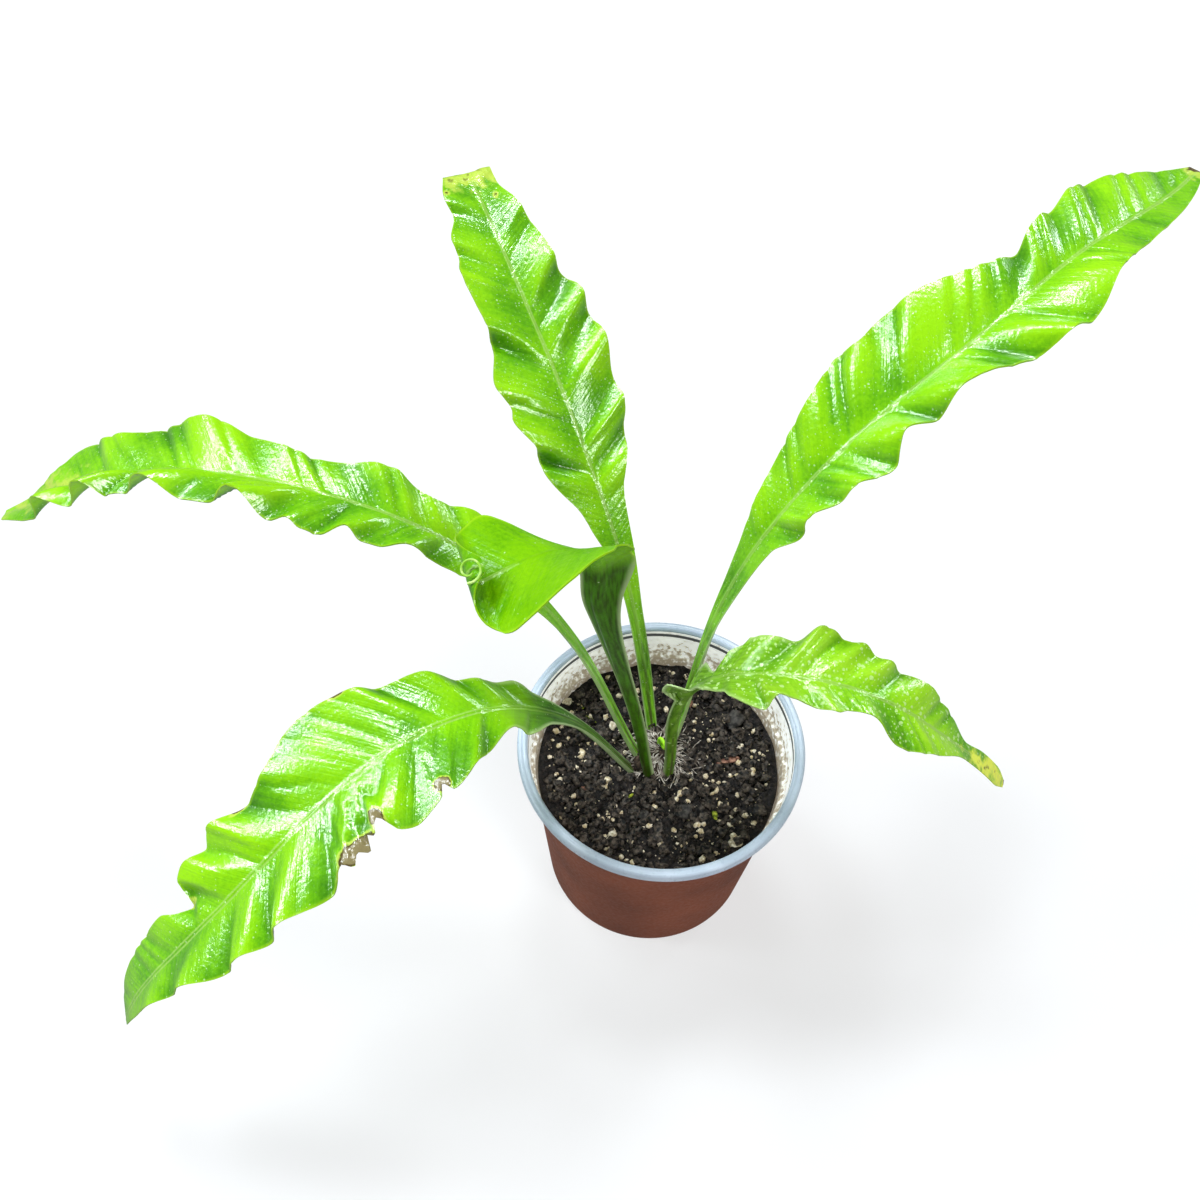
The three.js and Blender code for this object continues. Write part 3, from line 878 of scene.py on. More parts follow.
    def living(self, tree: Any, blade: BladeSockets, veins: Any) -> Any:
        """Builds the living leaf's colour: greens, stalk, pale edge and midrib.

        Args:
            tree: The material's node tree.
            blade: What it reads of the blade.
            veins: The noise of the side veins.

        Returns:
            The node that gives the colour.
        """
        to_blade = [blade.tipward, self.stalk_from, self.stalk_to, 1.0, 0.0]
        stalk_part = add_node(tree, "MapRange", to_blade, **SMOOTH)
        green = self.greens(tree, blade, veins)
        skin = add_node(tree, "Mix", [stalk_part, green, self.fibrous_stalk(tree, blade)])
        band = add_node(tree, "MapRange", [stalk_part, 0.0, 1.0, self.margin_from, self.stalk_edge_from])
        edge = add_node(tree, "MapRange", [blade.outward, band, 1.0, 0.0, self.edge_strength], **SMOOTH)
        rim = add_node(tree, "Mix", [stalk_part, self.margin, self.stalk_edge])
        edged = add_node(tree, "Mix", [edge, skin, rim])
        return self.ribbed(tree, blade, edged, stalk_part)

    def chalk_specks(self, tree: Any, blade: BladeSockets) -> Any:
        """Masks the chalky specks that hard water left, more of them where the marks say so.

        Args:
            tree: The material's node tree.
            blade: What it reads of the blade.

        Returns:
            The node that gives how chalky a place is.
        """
        cells = [blade.flat, per_metre(self.speckle_spacing)]
        specks = add_node(tree, "TexVoronoi", cells, voronoi_dimensions="2D")
        lot, luck, _ = add_node(tree, "SeparateColor", [specks.outputs["Color"]]).outputs
        drift = add_node(tree, "TexNoise", [blade.flat, per_metre(self.speckle_drift), 2.0], **FLAT)
        share = add_node(tree, "MapRange", [drift, 0.38, 0.6, 0.15, 1.6])
        dense = add_node(tree, "Math", [share, blade.speckle], operation="MULTIPLY")
        chosen = add_node(tree, "Math", [lot, dense], operation="LESS_THAN")
        # Most specks are small and a few are large
        uneven = add_node(tree, "Math", [luck, 4.0], operation="POWER")
        least, spread = self.speckle_size * 0.6, self.speckle_size * 1.6
        size = add_node(tree, "Math", [uneven, spread, least], operation="MULTIPLY_ADD")
        ragged = add_node(tree, "TexNoise", [blade.flat, per_metre(self.speckle_rag), 1.0], **FLAT)
        edge = add_node(tree, "Math", [ragged, 0.2, specks], operation="MULTIPLY_ADD")
        over = add_node(tree, "Math", [edge, size], operation="SUBTRACT")
        speck = add_node(tree, "MapRange", [over, 0.14, 0.02, 0.0, self.speckle_strength])
        return add_node(tree, "Math", [speck, chosen], operation="MULTIPLY")

    def withered(self, tree: Any, blade: BladeSockets, base: Any) -> tuple[Any, Any]:
        """Turns dying places yellow, then scorched brown at their edge, then straw.

        Args:
            tree: The material's node tree.
            blade: What it reads of the blade.
            base: The colour of the living leaf.

        Returns:
            The node that gives the colour, and the one that gives how dead a place is.
        """
        fray = add_node(tree, "TexNoise", [blade.place, per_metre(self.fray), 4.0])
        decay = add_node(tree, "Math", [fray, 0.5, blade.dry], operation="MULTIPLY_ADD")
        colour, stage = base, decay
        stages = ((0.5, 0.62, self.yellow), (0.64, 0.72, self.scorched), (0.72, 0.82, self.dead))
        for start, end, shade in stages:
            stage = add_node(tree, "MapRange", [decay, start, end, 0.0, 1.0], **SMOOTH)
            colour = add_node(tree, "Mix", [stage, colour, shade])
        return colour, stage

    def material(self) -> Any:
        """Builds the material from the blade's own map and marks.

        Returns:
            The material.
        """
        material, tree = new_material(self.name)
        blade = BladeSockets.of(tree)
        veins = self.side_veins(tree, blade)
        chalk = self.chalk_specks(tree, blade)
        speckled = add_node(tree, "Mix", [chalk, self.living(tree, blade, veins), self.chalk])
        colour, dead = self.withered(tree, blade, speckled)

        # The veins, a fine pucker and the chalk stand out, and the stalk is smoother than the blade
        pucker = add_node(tree, "TexNoise", [blade.flat, per_metre(self.pucker), 2.0], **FLAT)
        height = add_node(tree, "Math", [veins, self.vein_relief, pucker], operation="MULTIPLY_ADD")
        height = add_node(tree, "Math", [chalk, 0.4, height], operation="MULTIPLY_ADD")
        off_stalk = [blade.tipward, self.stalk_from, self.stalk_to]
        strength = add_node(tree, "MapRange", [*off_stalk, self.stalk_bump, self.blade_bump])
        bump = add_node(tree, "Bump", {"Height": height, "Strength": strength, "Distance": self.relief * MM})

        # Chalk and dead places are dull, and the stalk has little wax
        dusty = add_node(tree, "Math", [chalk, 0.5, self.roughness], operation="MULTIPLY_ADD")
        rough = add_node(tree, "Math", [dead, 0.45, dusty], operation="MULTIPLY_ADD")
        waxed = add_node(tree, "MapRange", [*off_stalk, self.wax_on_stalk * self.wax, self.wax])
        looks = {
            "Base Color": colour,
            "Roughness": rough,
            "Normal": bump,
            "IOR": self.ior,
            "Specular Tint": self.sheen,
            "Coat Weight": waxed,
            "Coat IOR": self.wax_ior,
            "Coat Roughness": self.wax_roughness,
            "Coat Normal": bump,
        }
        add_node(tree, "OutputMaterial", [add_node(tree, "BsdfPrincipled", looks)])
        return material


# Simple finishes


@dataclass(frozen=True)
class WatermarkAndRimShadow:
    """Dirt that watering left on the pot's inside, with drips above the mix, and a dark line of painted
    shadow under the rim.

    Heights and widths are in mm.
    """

    stain: str = "#7c6a48"
    bottom: float = 84
    top: float = 100
    drip_size: float = 2
    # Painted shadow: a dark line under the rim, where the rim's step shades the wall
    groove: str = "#24282b"
    rim_shadow_height: float = 101.4
    groove_line: tuple[float, float] = (0.7, 1.3)

    def over(self, tree: Any, place: Any, plastic: Any) -> Any:
        """Lays the dirt and the painted rim shadow over the plastic's colour.

        Args:
            tree: The material's node tree.
            place: The socket of Object coordinates.
            plastic: The node that gives the clean colour.

        Returns:
            The node that gives the colour.
        """
        height = add_node(tree, "SeparateXYZ", [place]).outputs["Z"]
        level = add_node(tree, "MapRange", [height, self.bottom * MM, self.top * MM, 0.32, 0.0])
        drips = add_node(tree, "TexNoise", [place, per_metre(self.drip_size), 6.0])
        dirt = add_node(tree, "Math", [drips, level], operation="ADD")
        mask = add_node(tree, "MapRange", [dirt, 0.56, 0.8, 0.0, 0.85])
        stained = add_node(tree, "Mix", [mask, plastic, self.stain])
        # A dark line under the rim: painted shadow of the rim's step
        off_groove = add_node(tree, "Math", [height, self.rim_shadow_height * MM], operation="SUBTRACT")
        beside = add_node(tree, "Math", [off_groove], operation="ABSOLUTE")
        full, gone = (width * MM for width in self.groove_line)
        groove = add_node(tree, "MapRange", [beside, full, gone, 0.95, 0.0])
        return add_node(tree, "Mix", [groove, stained, self.groove])


@dataclass(frozen=True)
class Moulded:
    """Vacuum-formed nursery plastic: smooth and faintly mottled, with soft broad glints.

    A glow stands for daylight that comes through a thin pale wall. Sizes are in mm.
    """

    name: str
    colour: str
    shade: str
    roughness: float = 0.38
    mottle: float = 16
    gloss: float = 0.5
    glow: float = 0.0
    # Watermarks and a painted shadow line under the rim, laid over the colour
    dirt: WatermarkAndRimShadow | None = None
    scuff_size: float = 1.6
    relief: float = 0.1
    ior: float = 1.49

    def material(self) -> Any:
        """Builds the plastic from Object coordinates.

        Returns:
            The material.
        """
        material, tree = new_material(self.name)
        place = add_node(tree, "TexCoord").outputs["Object"]
        cloud = add_node(tree, "TexNoise", [place, per_metre(self.mottle), 4.0])
        colour = add_node(tree, "ValToRGB", [cloud], [(0.3, self.shade), (0.7, self.colour)])
        if self.dirt:
            colour = self.dirt.over(tree, place, colour)
        scuffs = add_node(tree, "TexNoise", [place, per_metre(self.scuff_size), 5.0])
        rough = add_node(tree, "MapRange", [scuffs, 0.3, 0.7, self.roughness - 0.06, self.roughness + 0.1])
        bump = add_node(tree, "Bump", {"Height": scuffs, "Strength": 0.06, "Distance": self.relief * MM})
        looks = {
            "Base Color": colour,
            "Roughness": rough,
            "Normal": bump,
            "IOR": self.ior,
            "Specular IOR Level": self.gloss,
            "Emission Color": colour,
            "Emission Strength": self.glow,
        }
        add_node(tree, "OutputMaterial", [add_node(tree, "BsdfPrincipled", looks)])
        return material


@dataclass(frozen=True)
class Organic:
    """Crumbly, fibrous or woody matter: uneven and rough, so it takes light softly.

    Its colour changes over grain mm, and its surface is relief mm deep.
    """

    name: str
    dark: str
    light: str
    grain: float
    roughness: float = 0.9
    relief: float = 0.4
    ior: float = 1.4
    gloss: float = 0.4

    def material(self) -> Any:
        """Builds the matter from Object coordinates.

        Returns:
            The material.
        """
        material, tree = new_material(self.name)
        place = add_node(tree, "TexCoord").outputs["Object"]
        cloud = add_node(tree, "TexNoise", [place, per_metre(self.grain), 6.0])
        fine = add_node(tree, "TexNoise", [place, per_metre(self.grain / 3), 5.0])
        bump = add_node(tree, "Bump", {"Height": fine, "Strength": 0.8, "Distance": self.relief * MM})
        looks = {
            "Base Color": add_node(tree, "ValToRGB", [cloud], [(0.4, self.dark), (0.7, self.light)]),
            "Roughness": self.roughness,
            "Normal": bump,
            "IOR": self.ior,
            "Specular IOR Level": self.gloss,
        }
        add_node(tree, "OutputMaterial", [add_node(tree, "BsdfPrincipled", looks)])
        return material


POT_WALL = Moulded(
    name="moulded_polypropylene_red_brown",
    colour="#8e4d33",
    shade="#703c28",
    roughness=0.42,
    mottle=40,
    gloss=0.2,
)
POT_FLANGE = Moulded(
    name="moulded_polypropylene_pale_blue_grey",
    colour="#c0ccd8",
    shade="#acbbc9",
    roughness=0.3,
    mottle=12,
)
POT_INSIDE = Moulded(
    name="moulded_polypropylene_white_watermarked",
    colour="#f4f4ee",
    shade="#e4e6e2",
    roughness=0.4,
    mottle=10,
    gloss=0.4,
    glow=0.55,
    dirt=WatermarkAndRimShadow(),
)

# The peat is damp, so it glints a little where its crumbs catch the light
PEAT = Organic("damp_sieved_peat", "#020101", "#2c241f", grain=1.5, roughness=0.6, relief=0.8)
PEAT_CRUMB = Organic("peat_crumb", "#020202", "#62574c", grain=1.7, roughness=0.5, relief=0.6)
PERLITE = Organic("expanded_perlite", "#b9a47c", "#fbf0d8", grain=1.4, roughness=0.8, relief=0.3)
BARK = Organic("weathered_bark_chip", "#4a2a1e", "#a67c66", grain=1.6, roughness=0.8, relief=0.3)
HUSK = Organic("bleached_husk_and_perlite", "#a8977a", "#f2ead6", grain=1.2, roughness=0.8, relief=0.3)
MOSS = Organic("living_moss", "#4c5a0e", "#b4bc3c", grain=1.2, roughness=0.85, relief=0.4)
GRIT = Organic("coarse_grit", "#1c1a18", "#55504a", grain=2.4, roughness=0.7, relief=0.3)
RHIZOME_BARK = Organic("fibrous_rhizome_bark", "#1d1511", "#5a4a3c", grain=1.5, roughness=0.95, relief=0.5)
CROWN_SCALE = Organic("papery_crown_scale", "#4b3f36", "#a89b8c", grain=2.0, roughness=0.7, relief=0.2)
ROOT_FIBRE = Organic("dry_root_fibre", "#7d7266", "#e2dacd", grain=2.2, roughness=0.75, relief=0.1)

# Young skin is smoother, so its highlights are tighter
CROZIER_SKIN = Organic("tender_crozier_skin", "#7cc80c", "#c2f03a", grain=2.5, roughness=0.45, relief=0.15)
ROLLED_MARGIN = Organic("pale_rolled_margin", "#8cc430", "#d2ee90", grain=2.5, roughness=0.4, relief=0.1)


# Pot


@dataclass
class Pot:
    """The thin nursery pot, turned from one profile. Its sizes are in mm."""

    rim_radius: float = 60
    rim_inner_radius: float = 55.6
    height: float = 105
    skirt_drop: float = 4
    foot_radius: float = 45.4
    shoulder_height: float = 87
    shoulder_radius: float = 53.6
    wall: float = 1
    floor_lift: float = 2.4
    centre_disc: float = 14
    drain_radius: float = 3.5
    drain_ring: float = 27
    drain_count: int = 6
    drain_sides: int = 24
    drill_length: float = 8
    sides: int = 144

    def profile(self) -> list[tuple[float, float]]:
        """Draws the wall from the middle of the underside, up the outside and down the inside.

        Returns:
            The radius and height of each point, in mm.
        """
        foot, rim, inner, top = self.foot_radius, self.rim_radius, self.rim_inner_radius, self.height
        shoulder, wall, lift = self.shoulder_radius, self.wall, self.floor_lift
        collar = inner + wall
        outside = [
            # Centre disc, raised floor and foot ring
            (self.centre_disc, 0),
            (self.centre_disc + 2.5, lift),
            (foot - 8, lift),
            (foot - 6, 0),
            (foot - 1.6, 0),
            (foot - 0.9, 0.25),
            (foot - 0.3, 0.9),
            # Tapered wall, shoulder and collar
            (foot + 0.2, 3),
            (shoulder - 0.15, self.shoulder_height - 1),
            (shoulder + 0.1, self.shoulder_height - 0.2),
            (shoulder + 1.3, self.shoulder_height + 1.1),
            (shoulder + 1.6, self.shoulder_height + 2),
            (collar, top - 3.6),
            (collar + 0.3, top - 1.9),
            (collar + 1, top - 1.3),
            # Rolled flange with its skirt
            (rim - wall, top - 1.2),
            (rim - wall, top - self.skirt_drop),
            (rim - 0.5, top - self.skirt_drop - 0.2),
            (rim, top - self.skirt_drop + 0.2),
            (rim, top - 1.3),
            (rim - 0.25, top - 0.5),
            (rim - 0.8, top - 0.1),
            (rim - 1.5, top),
            (rim - 2.1, top - 0.25),
            (rim - 2.6, top - 0.3),
            (inner + 1.2, top - 0.05),
            (inner + 0.5, top - 0.35),
            (inner, top - 1.3),
        ]
        taper = (shoulder - foot) / self.shoulder_height
        inside = [
            (inner - 0.25, top - 3),
            (shoulder + 0.7, self.shoulder_height + 2.2),
            (shoulder + 0.2, self.shoulder_height + 1.2),
            (shoulder - wall, self.shoulder_height + 0.3),
            (foot + taper * 4 - wall, 4),
            (foot - 1.6, wall),
            (foot - 5.4, wall),
            (foot - 7.4, lift + wall),
            (self.centre_disc + 2, lift + wall),
            (self.centre_disc - 0.5, wall),
        ]
        return outside + inside

    def turn(self) -> Any:
        """Extrudes a filled disc ring by ring along the profile, which gives a closed solid.

        Returns:
            The pot without its holes.
        """
        profile = self.profile()
        first_radius, first_height = profile[0]
        bpy.ops.mesh.primitive_circle_add(
            vertices=self.sides,
            radius=first_radius * MM,
            fill_type="NGON",
            location=(0, 0, first_height * MM),
        )
        pot = active_piece()
        pick([pot])
        bpy.ops.object.transform_apply(location=True)
        bpy.ops.object.mode_set(mode="EDIT")
        bpy.ops.mesh.select_all(action="SELECT")
        radius, height = first_radius, first_height
        for next_radius, next_height in profile[1:]:
            bpy.ops.mesh.extrude_region_move(
                TRANSFORM_OT_translate={"value": (0, 0, (next_height - height) * MM)}
            )
            factor = next_radius / radius
            bpy.ops.transform.resize(value=(factor, factor, 1), center_override=(0, 0, next_height * MM))
            radius, height = next_radius, next_height
        bpy.ops.mesh.select_all(action="SELECT")
        bpy.ops.mesh.normals_make_consistent(inside=False)
        bpy.ops.object.mode_set(mode="OBJECT")
        return pot

    def drain(self, pot: Any) -> None:
        """Cuts the drain holes through the floor.

        Args:
            pot: The pot.
        """
        for k in range(self.drain_count):
            angle = 2 * math.pi * k / self.drain_count
            x, y = self.drain_ring * math.cos(angle), self.drain_ring * math.sin(angle)
            bpy.ops.mesh.primitive_cylinder_add(
                vertices=self.drain_sides,
                radius=self.drain_radius * MM,
                depth=self.drill_length * MM,
                location=(x * MM, y * MM, self.floor_lift * MM),
            )
            drill = active_piece()
            hole = pot.modifiers.new("drain", "BOOLEAN")
            hole.operation = "DIFFERENCE"
            hole.solver = "EXACT"
            hole.object = drill
            apply_modifiers(pot)
            bpy.data.objects.remove(drill)

    def zone(self, centre: Vector, normal: Vector) -> PotZone:
        """Tells which part of the pot a face belongs to.

        Args:
            centre: The face's middle, in metres.
            normal: The way that it faces.

        Returns:
            The part.
        """
        radius = math.hypot(centre.x, centre.y) / MM
        height = centre.z / MM
        if radius > self.rim_inner_radius and height > self.height - self.skirt_drop - 1:
            return PotZone.FLANGE
        outward = normal.x * centre.x + normal.y * centre.y
        is_floor = height < 5 and radius < self.foot_radius - 1
        if is_floor:
            return PotZone.INSIDE if normal.z > 0 else PotZone.OUTSIDE
        return PotZone.OUTSIDE if outward > 0 else PotZone.INSIDE

    def build(self) -> Any:
        """Models, drains and dresses the pot.

        Returns:
            The finished piece.
        """
        pot = self.turn()
        self.drain(pot)
        dress(pot, [finish.material() for finish in (POT_WALL, POT_FLANGE, POT_INSIDE)])
        for face in pot.data.polygons:
            face.material_index = self.zone(face.center, face.normal).value
        return finish_piece(pot, "nursery_pot", ["pot"], smooth=40)


# Potting mix


@dataclass
class PottingMix:
    """Peat crumbs, perlite and bits of bark and moss that fill the pot.

    level is the height of its surface. Strewn bits keep bare_edge away from the wall and crown_radius
    away from the crown, and the middle of each stands perch of its radius above the surface.
    """

    level: float = 84
    radius: float = 51.3
    floor: float = 3.7
    floor_radius: float = 43
    shoulder_drop: float = 4
    crown: tuple[float, float] = CROWN_CENTRE
    crown_radius: float = 12
    bare_edge: float = 3
    perch: float = 0.35
    cells: int = 210
    seed: int = 11

    def height(self, x: float, y: float) -> float:
        """Gives the height of the mix's surface without its crumbs.

        Args:
            x: How far right a place lies, in mm.
            y: How far back, in mm.

        Returns:
            The height in mm. It swells a little, and rises towards the crown.
        """
        swell = 0.9 * math.sin(0.19 * x + 0.8) * math.cos(0.16 * y - 0.4)
        swell += 0.6 * math.sin(0.37 * x - 0.29 * y)
        to_crown = math.hypot(x - self.crown[0], y - self.crown[1])
        return self.level + swell + 1.4 * math.exp(-((to_crown / 22) ** 2))

    def crumbled(self, x: float, y: float) -> float:
        """Gives the height of the surface with its peat crumbs.

        Args:
            x: How far right a place lies, in mm.
            y: How far back, in mm.

        Returns:
            The height in mm.
        """
        coarse = noise.noise(Vector((x / 6.5, y / 6.5, 1.7)))
        middle = noise.noise(Vector((x / 2.6, y / 2.6, 5.1)))
        lumps = noise.voronoi(Vector((x / 3.4, y / 3.4, 0.3)))[0][0]
        small = noise.voronoi(Vector((x / 1.5, y / 1.5, 2.9)))[0][0]
        return self.height(x, y) + 1.1 * coarse + 0.6 * middle - 1.6 * lumps**1.3 - 0.9 * small + 0.8

    def bed(self) -> Any:
        """Models the bed of mix: a fine disc whose edge goes down to the pot's floor.

        Returns:
            The finished piece.
        """
        bpy.ops.mesh.primitive_grid_add(x_subdivisions=self.cells, y_subdivisions=self.cells, size=2)
        bed = active_piece()

        def to_disc(place: Vector) -> Vector:
            """Moves a point of the square grid to its place on the crumbly disc."""
            x = place.x * math.sqrt(1 - place.y**2 / 2) * self.radius
            y = place.y * math.sqrt(1 - place.x**2 / 2) * self.radius
            edge = math.hypot(x, y) > self.radius - 0.2
            z = self.height(x, y) - 1.0 if edge else self.crumbled(x, y)
            return Vector((x, y, z)) * MM

        reshape(bed, to_disc)
        pick([bed])
        bpy.ops.object.mode_set(mode="EDIT")
        bpy.ops.mesh.select_all(action="SELECT")
        bpy.ops.mesh.region_to_loop()
        for drop in (-self.shoulder_drop, self.floor - self.level + self.shoulder_drop + 1):
            bpy.ops.mesh.extrude_edges_move(TRANSFORM_OT_translate={"value": (0, 0, drop * MM)})
        share = self.floor_radius / self.radius
        bpy.ops.transform.resize(value=(share, share, 0), center_override=(0, 0, self.floor * MM))
        bpy.ops.mesh.edge_face_add()
        bpy.ops.mesh.select_all(action="SELECT")
        bpy.ops.mesh.normals_make_consistent(inside=False)
        bpy.ops.object.mode_set(mode="OBJECT")
        dress(bed, [PEAT.material()])
        return finish_piece(bed, "peat_bed", ["soil"], smooth=60)

    def lump(self, subdivisions: int, seed: int, uneven: float) -> Any:
        """Models one uneven lump at the origin, 1 mm in radius.

        Args:
            subdivisions: How finely its ball is divided.
            seed: What its unevenness starts from.
            uneven: How far its surface leaves the ball, as a share of its size.

        Returns:
            The lump.
        """
        bpy.ops.mesh.primitive_ico_sphere_add(subdivisions=subdivisions, radius=1)
        lump = active_piece()
        offset = Vector((seed * 3.1, seed * 1.7, seed * 0.9))
        reshape(lump, lambda p: p * (1 + uneven * noise.noise(p * 1.3 + offset)) * MM)
        return lump

    def scatter(
        self,
        shapes: Sequence[Any],
        count: int,
        sizes: tuple[float, float],
        sink: float,
        rng: random.Random,
    ) -> Any:
        """Strews copies of some lumps over the bed.

        Args:
            shapes: The modelled lumps, 1 mm in radius.
            count: How many copies to strew.
            sizes: The least and greatest radius in mm.
            sink: How deep each lies in the mix, as a share of its radius.
            rng: The source of their places.

        Returns:
            All of them as one object.
        """
        placements: list[list[Matrix]] = [[] for _ in shapes]
        for k in range(count):
            angle = rng.uniform(0, 2 * math.pi)
            distance = (self.radius - self.bare_edge) * math.sqrt(rng.random())
            x, y = distance * math.cos(angle), distance * math.sin(angle)
            size = sizes[0] + (sizes[1] - sizes[0]) * rng.random() ** 3
            if math.hypot(x - self.crown[0], y - self.crown[1]) < self.crown_radius:
                continue
            z = self.crumbled(x, y) - sink * size + self.perch * size
            spin = Matrix.Rotation(rng.uniform(0, 6.28), 4, "Z")
            tilt = Matrix.Rotation(rng.uniform(0, 3), 4, "X")
            stretch = Matrix.Diagonal((size * rng.uniform(0.8, 1.25), size, size * rng.uniform(0.7, 1), 1))
            place = Matrix.Translation(Vector((x, y, z)) * MM)
            placements[k % len(shapes)].append(place @ (spin @ tilt) @ stretch)
        return join([copies(shape, places) for shape, places in zip(shapes, placements)])

    def laid(self, name: str, places: Sequence[Sequence[float]], matter: Organic) -> Any:
        """Lays single bits on the bed.

        Args:
            name: The piece's name.
            places: Each bit's x and y, its length, width and height, in mm, and its turn in degrees.
            matter: What the bits are made of.

        Returns:
            All of them as one object.
        """
        placements = []
        for x, y, length, width, height, turn in places:
            spin = Matrix.Rotation(math.radians(turn), 4, "Z")
            size = Matrix.Diagonal((length / 2, width / 2, height / 2, 1))
            z = self.crumbled(x, y) + height / 4
            placements.append(Matrix.Translation(Vector((x, y, z)) * MM) @ spin @ size)
        bits = copies(self.lump(subdivisions=3, seed=5, uneven=0.5), placements)
        dress(bits, [matter.material()])
        return finish_piece(bits, name, [], smooth=70)

    def litter(self) -> None:
        """Lays the bark, husk, moss and grit that stand out on the mix."""
        bark = [(29.7, 4.1, 10, 2.6, 1.6, 14), (12, 30, 6, 3, 2, 70), (-31, -12, 5, 2, 1.4, 120)]
        husk = [
            (32.9, -33.4, 6.5, 4.5, 1.6, 20),
            (-40.9, 27.4, 4, 3.4, 2.4, 0),
            (-18.2, -32.9, 4.4, 3, 2.6, 40),
            (-9.1, -31.8, 3.8, 3.4, 2.6, 10),
            (-20.3, 17.5, 4, 3.2, 2.6, 80),
            (35, 12, 3, 2.6, 2, 0),
        ]
        moss = [
            (-30.4, 20.7, 6, 1.6, 1.4, 150),
            (-33.9, 27, 5, 1.8, 1.4, 60),
            (24.4, -21.7, 4, 2.2, 1.6, 100),
            (-12, -16, 5, 1.2, 1.2, 40),
            (-26, 14, 5, 1.3, 1.2, 100),
        ]
        grit = [(11, -21.2, 8, 6.4, 4, 10), (32.6, 24.3, 9, 7, 5, 60), (-6, -24, 5, 4, 3, 0)]
        self.laid("bark_chips", bark, BARK)
        self.laid("husk_chips", husk, HUSK)
        self.laid("moss_bits", moss, MOSS)
        self.laid("grit", grit, GRIT)

    def build(self) -> None:
        """Models and dresses the whole of the mix."""
        rng = random.Random(self.seed)
        self.bed()
        lumps = [self.lump(subdivisions=2, seed=k, uneven=1.1) for k in range(4)]
        crumbs = self.scatter(lumps, count=1900, sizes=(0.4, 2.3), sink=0.0, rng=rng)
        dress(crumbs, [PEAT_CRUMB.material()])
        finish_piece(crumbs, "peat_crumbs", [], smooth=35)
        lumps = [self.lump(subdivisions=2, seed=7 + k, uneven=0.5) for k in range(3)]
        grains = self.scatter(lumps, count=700, sizes=(0.22, 1.45), sink=0.1, rng=rng)
        dress(grains, [PERLITE.material()])
        finish_piece(grains, "perlite_grains", [], smooth=80)
        self.litter()


# Crown


